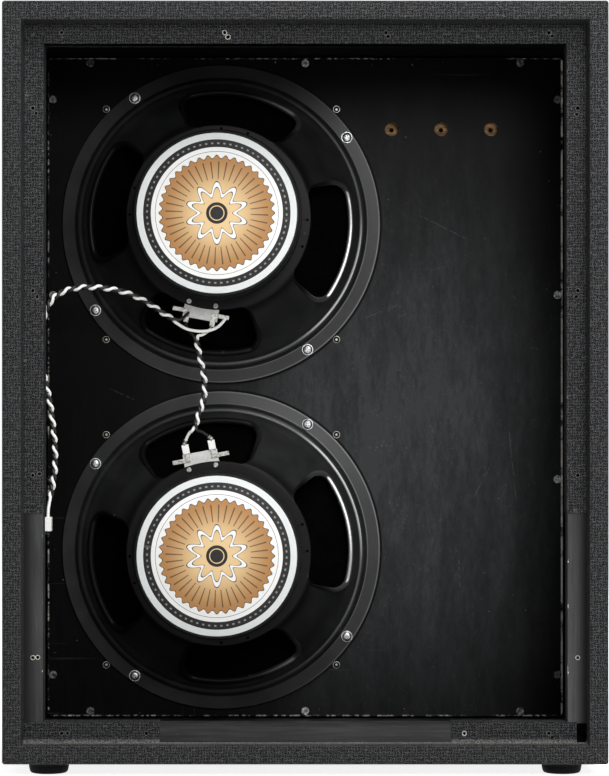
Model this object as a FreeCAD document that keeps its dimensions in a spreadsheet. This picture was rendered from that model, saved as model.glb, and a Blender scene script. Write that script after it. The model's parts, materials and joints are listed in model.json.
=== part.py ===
import FreeCAD, Part
import Sketcher
import math
import os
from types import SimpleNamespace

# Guitar speaker cabinet with its rear panel off.
# Frame: +Z up, the open back faces -Y, the grille faces +Y. Millimetres and degrees.

doc = FreeCAD.newDocument("speaker_cabinet")
Vector = FreeCAD.Vector
Rotation = FreeCAD.Rotation

DIMENSIONS = {
    # Box
    "cabinet_width": 540,
    "cabinet_height": 680,
    "cabinet_depth": 290,
    "panel_thickness": 15,
    "vinyl_thickness": 1,
    "vinyl_edge_radius": 2,
    "lip_width": 20,
    # Baffle, set behind the front of the box, and the room around the speakers
    "baffle_setback": 26,
    "baffle_thickness": 18,
    "baffle_gap": 2.5,
    "baffle_corner_radius": 5,
    "speaker_side_margin": 17,
    "speaker_end_margin": 10,
    "speaker_gap": 8,
    "cutout_margin": 15,
    "badge_hole_diameter": 4.5,
    "badge_bore_diameter": 13.5,
    "badge_bore_depth": 10,
    "badge_hole_pitch": 48.6,
    "badge_hole_side_inset": 121,
    "badge_hole_top_inset": 72,
    "baffle_screw_inset": 5,
    "baffle_screw_side_inset": 41.5,
    "baffle_screw_end_inset": 40.5,
    "baffle_screw_inner_pitch": 180,
    "wood_screw_diameter": 4,
    "wood_screw_head_diameter": 8,
    "wood_screw_head_height": 2.8,
    "wood_screw_length": 34,
    # Rear cleats and the pilot holes for the rear panel
    "cleat_width": 18,
    "cleat_depth": 22,
    "cleat_recess": 28,
    "bottom_cleat_gap": 10,
    "side_cover_end": 223,
    "bottom_cover_gap": 262,
    "pilot_diameter": 3,
    "pilot_depth": 15,
    "side_pilot_end_inset": 77,
    "side_pilot_inner_pitch": 166,
    "corner_pilot_inset": 35,
    "top_pilot_pitch": 145,
    "bottom_pilot_pitch": 286,
    # Grille
    "grille_thickness": 9,
    "cloth_thickness": 1,
    "grille_clearance": 1.5,
    "grille_hole_margin": 23,
    "grille_bolt_clearance": 4.1,
    "grille_bolt_diameter": 4.5,
    "grille_bolt_head_diameter": 9,
    "grille_bolt_head_height": 2.6,
    "grille_bolt_tip_gap": 3,
    "insert_diameter": 7,
    # Feet
    "foot_height": 12,
    "foot_top_diameter": 38,
    "foot_bottom_diameter": 34,
    "foot_edge_radius": 2.5,
    "foot_side_inset": 38,
    "foot_end_inset": 45,
    "foot_recess_diameter": 14,
    "foot_recess_depth": 6,
    "foot_screw_length": 20,
    "foot_screw_head_height": 3,
    # Speaker fixings
    "mount_edge_distance": 6.25,
    "mount_hole_diameter": 6,
    "mount_screw_diameter": 5,
    "mount_screw_length": 22,
    "mount_head_diameter": 9.5,
    "mount_head_height": 3.4,
    "washer_diameter": 11,
    "washer_hole_diameter": 5.4,
    "washer_thickness": 1.2,
    "tee_barrel_diameter": 7,
    "tee_barrel_length": 10,
    "tee_flange_diameter": 17,
    "tee_flange_thickness": 1.4,
    # Basket; heights are measured rearwards from the baffle
    "terminal_roll": 10.5,
    "flange_width": 13.2,
    "basket_sheet": 1.5,
    "basket_bend": 2.2,
    "gasket_thickness": 2.2,
    "gasket_width": 14,
    "wall_inset": 16.5,
    "wall_height": 12,
    "ridge_inset": 21.5,
    "ridge_height": 15,
    "bowl_inset": 27,
    "bowl_height": 18.5,
    "landing_radius": 88,
    "landing_height": 90,
    "seat_radius": 62,
    "seat_height": 98,
    "seat_hole_radius": 40,
    "window_inner_diameter": 172,
    "window_span": 59,
    "window_corner": 12,
    # Moving parts of the speaker
    "former_diameter": 50.8,
    "former_wall": 0.4,
    "former_front": 66,
    "former_rear": 118,
    "winding_build": 1.2,
    "winding_height": 14,
    "cone_sheet": 0.8,
    "cone_edge_bend": 2,
    "cone_flare": 400,
    "cone_neck_rear": 76,
    "cone_neck_front": 70,
    "cone_middle_radius": 66,
    "cone_middle_height": 43,
    "cone_edge_inset": 29,
    "cone_edge_height": 8,
    "cone_lip_inset": 24,
    "dust_cap_diameter": 80,
    "dust_cap_rise": 14,
    "dust_cap_seat": 0.2,
    "surround_sheet": 0.8,
    "surround_glue_width": 4.5,
    "surround_clamp_width": 14,
    "surround_outer_inset": 1,
    "surround_roll": 1.4,
    "spider_sheet": 0.7,
    "spider_outer_radius": 78,
    "spider_glue_width": 6,
    "spider_inner_height": 80,
    "spider_roll": 1.3,
    # Magnet
    "pole_diameter": 48.6,
    "gap_diameter": 55,
    "front_plate_diameter": 148,
    "front_plate_thickness": 8,
    "magnet_diameter": 158,
    "magnet_hole_diameter": 64,
    "magnet_thickness": 24,
    "back_plate_diameter": 154,
    "back_plate_thickness": 10,
    "label_diameter": 148.8,
    "label_thickness": 0.4,
    # Terminals; reaches are measured outwards from the speaker axis
    "board_width": 33,
    "board_inner_reach": 80,
    "board_outer_reach": 98,
    "board_thickness": 2,
    "rivet_pitch": 25.6,
    "rivet_reach": 83,
    "rivet_shank_diameter": 2.6,
    "rivet_head_diameter": 4.6,
    "rivet_head_height": 1.2,
    "tag_sheet": 0.8,
    "tag_pitch": 25,
    "tag_width": 4.8,
    "blade_reach": 103,
    "tab_inner_reach": 90,
    "tab_outer_reach": 94,
    "tab_side": 27,
    "sleeve_start_reach": 98.2,
    "sleeve_end_reach": 107,
    "sleeve_wall": 0.9,
    # Input jack
    "jack_setback": 112,
    "jack_height": 201,
    "dish_flange": 58,
    "dish_pan": 42,
    "dish_depth": 9,
    "dish_sheet": 1.2,
    "dish_screw_pitch": 50,
    "dish_screw_diameter": 3,
    "dish_screw_head_diameter": 5.4,
    "dish_screw_length": 10,
    "bushing_diameter": 9.5,
    "bushing_length": 5.2,
    "jack_bore_diameter": 6.5,
    "jack_bore_depth": 18,
    "jack_nut_width": 13,
    "jack_nut_thickness": 2.4,
    "jack_body_length": 15,
    "jack_body_width": 18,
    "jack_body_height": 16,
    "jack_tag_pitch": 7.4,
    "jack_tag_reach": 6.5,
    "jack_tag_rise": 10,
    "jack_tag_width": 4.8,
    "jack_sleeve_width": 6.4,
    "jack_sleeve_depth": 6,
    "jack_sleeve_height": 13,
    "jack_sleeve_lift": 3,
    # Leads
    "pair_diameter": 6.2,
    "wire_diameter": 3,
    "flex_diameter": 1.6,
    "lead_start_side": 2,
    "lead_start_rise": 18,
    "lead_end_side": 21,
    "lead_end_reach": 104,
    "lead_end_height": 99,
    "link_top_reach": 116,
    "link_bottom_reach": 120,
    "link_height": 96,
    "tail_end_side": 24,
    "tail_end_reach": 93,
    "tail_black_side": 11.5,
    "tail_black_reach": 94,
    "wire_clearance": 0.1,
    "tail_clearance": 1.9,
    "flex_start_reach": 93,
    "flex_end_side": 8,
    "flex_end_reach": 46,
    "flex_lift": 1.2,
    "cut_overrun": 5,
}

FINGERS = 9
SPIDER_ROLLS = 6


class Size:
    """A number together with the sheet formula that it comes from."""

    def __init__(self, value, formula):
        self.value = float(value)
        self.formula = formula

    def combine(self, sign, other, value):
        text = other.formula if isinstance(other, Size) else repr(other)
        return Size(value, "(%s %s %s)" % (self.formula, sign, text))

    def __add__(self, other):
        return self.combine("+", other, self.value + number(other))

    def __sub__(self, other):
        return self.combine("-", other, self.value - number(other))

    def __mul__(self, factor):
        return self.combine("*", factor, self.value * number(factor))

    def __truediv__(self, factor):
        return self.combine("/", factor, self.value / number(factor))

    def __neg__(self):
        return self * -1


def number(size):
    return size.value if isinstance(size, Size) else float(size)


sheet = doc.addObject("Spreadsheet::Sheet", "dims")
for row, (alias, value) in enumerate(DIMENSIONS.items(), start=1):
    sheet.set("A%d" % row, alias)
    sheet.set("B%d" % row, str(value))
    sheet.setAlias("B%d" % row, alias)
doc.recompute()
d = SimpleNamespace(**{alias: Size(sheet.get(alias), "dims." + alias) for alias in DIMENSIONS})
ZERO = Size(0, "0")

pieces = {}

ALONG = {
    "+X": Rotation(Vector(0, 1, 0), 90),
    "-X": Rotation(Vector(0, 1, 0), -90),
    "+Y": Rotation(Vector(1, 0, 0), -90),
    "-Y": Rotation(Vector(1, 0, 0), 90),
    "+Z": Rotation(),
}


# Helpers that bind document objects to the sheet

def add(kind, name):
    item = doc.addObject(kind, name)
    item.Label = name
    return item


def bind(item, **sizes):
    for prop, size in sizes.items():
        setattr(item, prop, size.value)
        item.setExpression(prop, size.formula)


def place(item, spot, turn=None):
    item.Placement = FreeCAD.Placement(Vector(*[number(s) for s in spot]), turn or Rotation())
    for axis, size in zip("xyz", spot):
        item.setExpression("Placement.Base." + axis, size.formula)
    return item


def box(name, x, y, z):
    item = add("Part::Box", name)
    bind(item, Length=x[1] - x[0], Width=y[1] - y[0], Height=z[1] - z[0])
    return place(item, (x[0], y[0], z[0]))


def rod(name, spot, along, diameter, length):
    item = add("Part::Cylinder", name)
    bind(item, Radius=diameter / 2, Height=length)
    return place(item, spot, ALONG[along])


def taper(name, spot, along, start, end, length):
    item = add("Part::Cone", name)
    bind(item, Radius1=start / 2, Radius2=end / 2, Height=length)
    return place(item, spot, ALONG[along])


def join(name, items):
    item = add("Part::MultiFuse", name)
    item.Shapes = items
    return item


def carve(name, base, tools):
    item = add("Part::Cut", name)
    item.Base = base
    item.Tool = tools[0] if len(tools) == 1 else join(name + "_tools", tools)
    return item


def gather(name, items):
    item = add("Part::Compound", name)
    item.Links = items
    return item


def fixed_shape(name, shape):
    item = add("Part::Feature", name)
    item.Shape = shape
    return item


def round_edges(name, base, radius, chosen):
    doc.recompute()
    item = add("Part::Fillet", name)
    item.Base = base
    edges = enumerate(base.Shape.Edges, start=1)
    item.Edges = [(index, number(radius), number(radius)) for index, edge in edges if chosen(edge)]
    return item


def keep(item):
    pieces[item.Label] = item
    return item


def centred(size, middle=ZERO):
    return (middle - size / 2, middle + size / 2)


# Helpers for sketched bodies

def start_body(name):
    return add("PartDesign::Body", name)


def sketch_in(body, role, name):
    sketch = body.newObject("Sketcher::SketchObject", name)
    plane = [item for item in body.Origin.OriginFeatures if item.Role == role][0]
    sketch.AttachmentSupport = [(plane, "")]
    sketch.MapMode = "FlatFace"
    return sketch


def limit(sketch, kind, geometry, corner, size):
    """Hold one point of the sketch at a signed distance from its origin."""
    if size.value < 0:
        ends = (geometry, corner, -1, 1)
        size = -size
    else:
        ends = (-1, 1, geometry, corner)
    index = sketch.addConstraint(Sketcher.Constraint(kind, *ends, size.value))
    sketch.setExpression("Constraints[%d]" % index, size.formula)


def hold(sketch, geometry, corner, x, y):
    for kind, axis, size in (("DistanceX", -2, x), ("DistanceY", -1, y)):
        if size.value == 0:
            sketch.addConstraint(Sketcher.Constraint("PointOnObject", geometry, corner, axis))
        else:
            limit(sketch, kind, geometry, corner, size)


def outline(sketch, points):
    spots = [Vector(number(x), number(y), 0) for x, y in points]
    count = len(spots)
    for index in range(count):
        sketch.addGeometry(Part.LineSegment(spots[index], spots[(index + 1) % count]))
    for index in range(count):
        sketch.addConstraint(Sketcher.Constraint("Coincident", index, 2, (index + 1) % count, 1))
        hold(sketch, index, 1, *points[index])


def circles(sketch, spots, diameter):
    for x, y in spots:
        circle = Part.Circle(Vector(number(x), number(y), 0), Vector(0, 0, 1), diameter.value / 2)
        index = sketch.addGeometry(circle)
        hold(sketch, index, 3, x, y)
        rule = sketch.addConstraint(Sketcher.Constraint("Diameter", index, diameter.value))
        sketch.setExpression("Constraints[%d]" % rule, diameter.formula)


def pad(body, sketch, length, name):
    feature = body.newObject("PartDesign::Pad", name)
    feature.Profile = sketch
    bind(feature, Length=length)
    feature.Reversed = True
    return feature


def pocket(body, sketch, depth, name):
    feature = body.newObject("PartDesign::Pocket", name)
    feature.Profile = sketch
    if depth is None:
        feature.Type = "ThroughAll"
    else:
        bind(feature, Length=depth)
    return feature


def spin(name, points):
    """A solid of revolution about the Y axis from corners given as radius and height."""
    body = start_body(name)
    sketch = sketch_in(body, "XY_Plane", name + "_profile")
    outline(sketch, [(radius, -height) for radius, height in points])
    feature = body.newObject("PartDesign::Revolution", name + "_turn")
    feature.Profile = sketch
    feature.ReferenceAxis = (sketch, ["V_Axis"])
    feature.Angle = 360
    return body


# Helpers for pressed sheet and for wire

def turn_at(before, corner, after):
    first = corner - before
    second = after - corner
    return first.getAngle(second)


def bent_edges(points, radii):
    """Straight runs joined by tangent arcs; one radius for each inner corner."""
    edges = []
    start = points[0]
    for before, corner, after, radius in zip(points, points[1:], points[2:], radii):
        reach = radius * math.tan(turn_at(before, corner, after) / 2)
        back = (before - corner).normalize()
        ahead = (after - corner).normalize()
        enter = corner + back * reach
        leave = corner + ahead * reach
        inward = (back + ahead).normalize()
        depth = math.hypot(reach, radius) - radius
        edges.append(Part.LineSegment(start, enter).toShape())
        edges.append(Part.Arc(enter, corner + inward * depth, leave).toShape())
        start = leave
    edges.append(Part.LineSegment(start, points[-1]).toShape())
    return edges


def fitting_bend(bend, path):
    """A bend at the middle one of three corners, no wider than the runs beside it allow."""
    before, corner, after = [Vector(number(x), number(y), 0) for x, y in path]
    shorter = min((corner - before).Length, (after - corner).Length)
    return min(number(bend), 0.45 * shorter / math.tan(turn_at(before, corner, after) / 2))


def beside(points, gap):
    """The same path moved to its left by an even gap, with mitred corners."""
    runs = [(b - a).normalize() for a, b in zip(points, points[1:])]
    lefts = [Vector(-run.y, run.x, 0) for run in runs]
    moved = [points[0] + lefts[0] * gap]
    for corner, first, second in zip(points[1:], lefts, lefts[1:]):
        middle = (first + second).normalize()
        moved.append(corner + middle * (gap / middle.dot(first)))
    moved.append(points[-1] + lefts[-1] * gap)
    return moved


def turned(edges):
    face = Part.Face(Part.Wire(Part.__sortEdges__(edges)))
    return face.revolve(Vector(0, 0, 0), Vector(0, 1, 0), 360)


def pressed_sheet(path, thickness, bends):
    """Revolve a bent strip of even thickness; the path is its rear side."""
    outer = [Vector(number(radius), -number(height), 0) for radius, height in path]
    inner = beside(outer, -number(thickness))
    outer_radii = []
    inner_radii = []
    for before, corner, after, bend in zip(outer, outer[1:], outer[2:], bends):
        right_turn = (corner - before).cross(after - corner).z < 0
        outer_radii.append(number(bend) + (number(thickness) if right_turn else 0))
        inner_radii.append(number(bend) + (0 if right_turn else number(thickness)))
    ends = [Part.LineSegment(outer[end], inner[end]).toShape() for end in (0, -1)]
    return turned(bent_edges(outer, outer_radii) + bent_edges(inner, inner_radii) + ends)


def rolled_sheet(path, thickness, rolls):
    """Revolve a corrugated strip: each run of the path bulges by its roll, in turn."""
    sides = []
    for lift in (0, number(thickness)):
        spots = [Vector(number(radius), lift - number(height), 0) for radius, height in path]
        for a, b, roll in zip(spots, spots[1:], rolls):
            run = (b - a).normalize()
            middle = (a + b) * 0.5 + Vector(-run.y, run.x, 0) * roll
            curve = Part.Arc(a, middle, b) if roll else Part.LineSegment(a, b)
            sides.append(curve.toShape())
        ends = (spots[0], spots[-1])
        if lift:
            sides += [Part.LineSegment(low, high).toShape() for low, high in zip(first_ends, ends)]
        first_ends = ends
    return turned(sides)


def wire_solid(points, diameter):
    """A round wire whose corners are arcs as large as the runs beside them allow."""
    radii = []
    for before, corner, after in zip(points, points[1:], points[2:]):
        shorter = min((corner - before).Length, (after - corner).Length)
        radii.append(0.45 * shorter / math.tan(turn_at(before, corner, after) / 2))
    path = Part.Wire(bent_edges(points, radii))
    ring = Part.Circle(points[0], points[1] - points[0], number(diameter) / 2)
    solid = path.makePipeShell([Part.Wire(ring.toShape())], True, False)
    expected = math.pi * (number(diameter) / 2) ** 2 * path.Length
    print("wire %.1f long, tightest bend %.1f, volume share %.4f"
          % (path.Length, min(radii), solid.Volume / expected))
    return solid


def blend_points(start, end, shares):
    """Points along a span, given as its share and as offsets in shares of its length."""
    span = end - start
    points = [start]
    for along, side, depth, rise in shares:
        points.append(start + span * along + Vector(side, depth, rise) * span.Length)
    return points + [end]


# Places worked out from the driving dimensions

rear = -d.cabinet_depth / 2
front = d.cabinet_depth / 2
low = d.foot_height
high = d.foot_height + d.cabinet_height
middle = (low + high) / 2
half = d.cabinet_width / 2
wood_half = half - d.vinyl_thickness
inner_half = wood_half - d.panel_thickness
wood_low = low + d.vinyl_thickness
wood_high = high - d.vinyl_thickness
inner_low = wood_low + d.panel_thickness
inner_high = wood_high - d.panel_thickness
wood_rear = rear + d.vinyl_thickness
wood_front = front - d.vinyl_thickness
baffle_front = front - d.baffle_setback
baffle_rear = baffle_front - d.baffle_thickness
grille_front = baffle_front + d.grille_thickness
cleat_rear = rear + d.cleat_recess
cleat_front = cleat_rear + d.cleat_depth
depth_range = (wood_rear, wood_front)

# Speakers stacked in the height of the box, with a margin at each end and beside them

rim = (inner_high - inner_low - d.speaker_end_margin * 2 - d.speaker_gap) / 2
rim_radius = rim / 2
speaker_x = rim_radius + d.speaker_side_margin - inner_half
speaker_pitch = rim + d.speaker_gap
mount_circle = rim - d.mount_edge_distance * 2
grille_bolt_pitch = (rim_radius + d.grille_bolt_clearance) * math.sqrt(2)
wall_radius = rim_radius - d.wall_inset
ridge_radius = rim_radius - d.ridge_inset
bowl_radius = rim_radius - d.bowl_inset
cone_edge = rim_radius - d.cone_edge_inset
cone_lip = rim_radius - d.cone_lip_inset
surround_outer = rim_radius - d.surround_outer_inset
surround_clamp = surround_outer - d.surround_clamp_width

roll = number(d.terminal_roll)
speakers = (
    SimpleNamespace(name="upper", height=middle + speaker_pitch / 2, turn=180 + roll),
    SimpleNamespace(name="lower", height=middle - speaker_pitch / 2, turn=-roll),
)


def settle(item, speaker):
    spot = (speaker_x, baffle_rear, speaker.height)
    return place(item, spot, Rotation(Vector(0, 1, 0), speaker.turn))


def seat(item, speaker):
    return keep(settle(item, speaker))


def from_speaker(speaker, side, height, reach):
    """A point given beside, behind and outwards along the terminals of a speaker."""
    local = Vector(number(side), -number(height), number(reach))
    centre = Vector(number(speaker_x), number(baffle_rear), number(speaker.height))
    return centre + Rotation(Vector(0, 1, 0), speaker.turn).multVec(local)


# Screws, bolts and holes that several pieces share

mount_spots = []
for speaker in speakers:
    for quarter in range(4):
        angle = math.radians(speaker.turn + 45 + 90 * quarter)
        across = mount_circle / 2 * math.sin(angle)
        up = mount_circle / 2 * math.cos(angle)
        mount_spots.append((speaker_x + across, speaker.height + up))

grille_spots = []
for speaker in speakers:
    for x_side in (-1, 1):
        for z_side in (-1, 1):
            x = speaker_x + grille_bolt_pitch / 2 * x_side
            grille_spots.append((x, speaker.height + grille_bolt_pitch / 2 * z_side))

baffle_half = inner_half - d.baffle_gap
baffle_tall = (inner_high - inner_low) / 2 - d.baffle_gap
screw_x = baffle_half - d.baffle_screw_inset
screw_z = baffle_tall - d.baffle_screw_inset
row_reach = baffle_half - d.baffle_screw_side_inset
column_reaches = (baffle_tall - d.baffle_screw_end_inset, d.baffle_screw_inner_pitch / 2)
baffle_screw_spots = []
for side in (-1, 1):
    baffle_screw_spots += [(row_reach * step, middle + screw_z * side) for step in (-1, 0, 1)]
    for reach in column_reaches:
        baffle_screw_spots += [(screw_x * side, middle + reach * way) for way in (-1, 1)]

pilot_z = inner_high - d.cleat_width / 2 - middle
pilot_x = inner_half - d.cleat_width / 2
corner_pilot_x = inner_half - d.corner_pilot_inset
side_pilot_reaches = ((inner_high - inner_low) / 2 - d.side_pilot_end_inset, d.side_pilot_inner_pitch / 2)
pilot_spots = []
for side in (-1, 1):
    for reach in side_pilot_reaches:
        pilot_spots += [(pilot_x * side, middle + reach * way) for way in (-1, 1)]
    pilot_spots += [(corner_pilot_x * side, middle + pilot_z * way) for way in (-1, 1)]
    pilot_spots.append((d.top_pilot_pitch / 2 * side, middle + pilot_z))
    pilot_spots.append((d.bottom_pilot_pitch / 2 * side, middle - pilot_z))


def baffle_screw(index, x, z):
    head = taper("baffle_screw_head_%d" % index, (x, baffle_rear, z), "+Y",
                 d.wood_screw_head_diameter, d.wood_screw_diameter, d.wood_screw_head_height)
    shank = rod("baffle_screw_shank_%d" % index, (x, baffle_rear, z), "+Y",
                d.wood_screw_diameter, d.wood_screw_length)
    return join("baffle_screw_%d" % index, [head, shank])


baffle_screws = [baffle_screw(i, x, z) for i, (x, z) in enumerate(baffle_screw_spots)]
keep(gather("baffle_screws", baffle_screws))

pilots = []
for index, (x, z) in enumerate(pilot_spots):
    start = cleat_rear - d.vinyl_thickness - d.cut_overrun
    pilots.append(rod("pilot_%d" % index, (x, start, z), "+Y", d.pilot_diameter,
                      d.vinyl_thickness + d.cut_overrun + d.pilot_depth))

# Jack dish in the left side, seen from behind

jack_y = rear + d.jack_setback
jack_z = low + d.jack_height
dish_floor = d.dish_depth + d.dish_sheet - half
pan_outside = d.dish_pan + d.dish_sheet * 2
flange = box("dish_flange", (-half, d.dish_sheet - half),
             centred(d.dish_flange, jack_y), centred(d.dish_flange, jack_z))
pan = box("dish_pan", (-half, dish_floor), centred(pan_outside, jack_y), centred(pan_outside, jack_z))
pan_hollow = box("dish_hollow", (-half - d.cut_overrun, dish_floor - d.dish_sheet),
                 centred(d.dish_pan, jack_y), centred(d.dish_pan, jack_z))
bushing_hole = rod("dish_bushing_hole", (-half, jack_y, jack_z), "+X",
                   d.bushing_diameter, d.dish_depth + d.dish_sheet + d.cut_overrun)
dish_screws = []
for index, (y_side, z_side) in enumerate(((-1, -1), (-1, 1), (1, -1), (1, 1))):
    spot = (-half, jack_y + d.dish_screw_pitch / 2 * y_side, jack_z + d.dish_screw_pitch / 2 * z_side)
    head = taper("dish_screw_head_%d" % index, spot, "+X",
                 d.dish_screw_head_diameter, d.dish_screw_diameter, d.dish_sheet)
    shank = rod("dish_screw_shank_%d" % index, spot, "+X", d.dish_screw_diameter, d.dish_screw_length)
    dish_screws.append(join("dish_screw_%d" % index, [head, shank]))
dish_body = join("dish_body", [flange, pan])
keep(carve("jack_dish", dish_body, [pan_hollow, bushing_hole] + dish_screws))
keep(gather("jack_dish_screws", dish_screws))

pan_opening = box("dish_opening", (-half - d.cut_overrun, d.cut_overrun - inner_half),
                  centred(pan_outside, jack_y), centred(pan_outside, jack_z))
flange_recess = box("dish_recess", (-half - d.cut_overrun, d.dish_sheet - half),
                    centred(d.dish_flange, jack_y), centred(d.dish_flange, jack_z))

# Feet

feet = []
foot_screws = []
foot_x = half - d.foot_side_inset
foot_y = front - d.foot_end_inset
for index, (x_side, y_side) in enumerate(((-1, -1), (1, -1), (-1, 1), (1, 1))):
    x = foot_x * x_side
    y = foot_y * y_side
    blank = taper("foot_blank_%d" % index, (x, y, ZERO), "+Z",
                  d.foot_bottom_diameter, d.foot_top_diameter, d.foot_height)
    eased = round_edges("foot_eased_%d" % index, blank, d.foot_edge_radius,
                        lambda edge: edge.Closed and edge.BoundBox.ZMax < number(d.foot_height) / 2)
    recess = rod("foot_recess_%d" % index, (x, y, ZERO), "+Z", d.foot_recess_diameter, d.foot_recess_depth)
    head = rod("foot_screw_head_%d" % index, (x, y, d.foot_recess_depth - d.foot_screw_head_height), "+Z",
               d.wood_screw_head_diameter, d.foot_screw_head_height)
    shank = rod("foot_screw_shank_%d" % index, (x, y, d.foot_recess_depth), "+Z",
                d.wood_screw_diameter, d.foot_screw_length)
    foot_screws.append(join("foot_screw_%d" % index, [head, shank]))
    feet.append(carve("foot_%d" % index, eased, [recess, shank]))
keep(gather("rubber_feet", feet))
keep(gather("foot_screws", foot_screws))

# Finger-jointed plywood shell

finger = (wood_front - wood_rear) / FINGERS


def finger_range(index):
    return (wood_rear + finger * index, wood_rear + finger * (index + 1))


def side_panel(name, x, holes):
    board = box(name + "_board", x, depth_range, (wood_low, wood_high))
    notches = []
    for index in range(1, FINGERS, 2):
        for end, z in (("top", (inner_high, wood_high)), ("bottom", (wood_low, inner_low))):
            notches.append(box("%s_%s_notch_%d" % (name, end, index), x, finger_range(index), z))
    return keep(carve(name, board, notches + holes))


def level_panel(name, z, holes):
    board = box(name + "_board", (-wood_half, wood_half), depth_range, z)
    notches = []
    for index in range(0, FINGERS, 2):
        for end, x in (("left", (-wood_half, -inner_half)), ("right", (inner_half, wood_half))):
            notches.append(box("%s_%s_notch_%d" % (name, end, index), x, finger_range(index), z))
    return keep(carve(name, board, notches + holes))


side_panel("left_side_panel", (-wood_half, -inner_half), [pan_opening, flange_recess] + dish_screws)
side_panel("right_side_panel", (inner_half, wood_half), [])
level_panel("top_panel", (inner_high, wood_high), [])
level_panel("bottom_panel", (wood_low, inner_low), foot_screws)

# Vinyl covering, wrapped over the edges and into the recesses

lip_half = inner_half - d.lip_width
lip_low = inner_low + d.lip_width
lip_high = inner_high - d.lip_width
skin = d.vinyl_thickness


def frame_ring(name, x, y, z, margin):
    solid = box(name + "_solid", (-x, x), y, z)
    opening = box(name + "_opening", (margin - x, x - margin), y, (z[0] + margin, z[1] - margin))
    return carve(name, solid, [opening])


wrap_block = box("wrap_block", (-half, half), (rear, front), (low, high))
wrap_eased = round_edges("wrap_eased", wrap_block, d.vinyl_edge_radius, lambda edge: True)
wood_block = box("wrap_wood", (-wood_half, wood_half), depth_range, (wood_low, wood_high))
rear_opening = box("wrap_rear_opening", (skin - inner_half, inner_half - skin),
                   (rear - d.cut_overrun, wood_rear), (inner_low + skin, inner_high - skin))
front_opening = box("wrap_front_opening", (skin - lip_half, lip_half - skin),
                    (wood_front, front + d.cut_overrun), (lip_low + skin, lip_high - skin))
wrap_shell = carve("wrap_shell", wrap_eased, [wood_block, rear_opening, front_opening])
rear_lining = frame_ring("rear_lining", inner_half, (wood_rear, cleat_rear), (inner_low, inner_high), skin)
front_lining = frame_ring("front_lining", lip_half, (baffle_front, wood_front), (lip_low, lip_high), skin)
wrap = join("wrap", [wrap_shell, rear_lining, front_lining])
keep(carve("vinyl_covering", wrap, [pan_opening, flange_recess] + foot_screws))

# Front lips and rear cleats


def stick(name, x, y, z, holes):
    return keep(carve(name, box(name + "_bar", x, y, z), holes))


lip_depth = (baffle_front, wood_front)
stick("front_lip_top", (-inner_half, inner_half), lip_depth, (lip_high, inner_high), baffle_screws)
stick("front_lip_bottom", (-inner_half, inner_half), lip_depth, (inner_low, lip_low), baffle_screws)
stick("front_lip_left", (-inner_half, -lip_half), lip_depth, (lip_low, lip_high), baffle_screws)
stick("front_lip_right", (lip_half, inner_half), lip_depth, (lip_low, lip_high), baffle_screws)

cleat_range = (cleat_rear, cleat_front)
cleat_half = inner_half - d.cleat_width
cleat_low = inner_low + d.cleat_width
cleat_high = inner_high - d.cleat_width
bottom_range = (-inner_half, inner_half - d.bottom_cleat_gap)
stick("rear_cleat_top", (-inner_half, inner_half), cleat_range, (cleat_high, inner_high), pilots)
stick("rear_cleat_bottom", bottom_range, cleat_range, (inner_low, cleat_low), pilots)
stick("rear_cleat_left", (-inner_half, -cleat_half), cleat_range, (cleat_low, cleat_high), pilots)
stick("rear_cleat_right", (cleat_half, inner_half), cleat_range, (cleat_low, cleat_high), pilots)


def cover_strip(name, x, z, edge_x, edge_z):
    face = box(name + "_face", x, (cleat_rear - skin, cleat_rear), z)
    edge = box(name + "_edge", edge_x, (cleat_rear - skin, cleat_front), edge_z)
    return carve(name, join(name + "_sheet", [face, edge]), pilots)


top_span = (skin - inner_half, inner_half - skin)
top_edge = (cleat_high - skin, cleat_high)
side_span = (low + d.side_cover_end, top_edge[0])
bottom_edge = (cleat_low, cleat_low + skin)
bottom_face = (inner_low + skin, cleat_low + skin)
left_run = (skin - inner_half, -d.bottom_cover_gap / 2)
right_run = (d.bottom_cover_gap / 2, bottom_range[1])
left_edge = (-cleat_half, skin - cleat_half)
right_edge = (cleat_half - skin, cleat_half)
keep(gather("cleat_covering", [
    cover_strip("cover_top", top_span, (top_edge[0], inner_high - skin), (-cleat_half, cleat_half), top_edge),
    cover_strip("cover_left", (skin - inner_half, left_edge[1]), side_span, left_edge, side_span),
    cover_strip("cover_right", (right_edge[0], inner_half - skin), side_span, right_edge, side_span),
    cover_strip("cover_bottom_left", left_run, bottom_face, (-cleat_half, left_run[1]), bottom_edge),
    cover_strip("cover_bottom_right", right_run, bottom_face, (right_run[0], cleat_half), bottom_edge),
]))

# Speaker screws, washers and tee nuts

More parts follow.
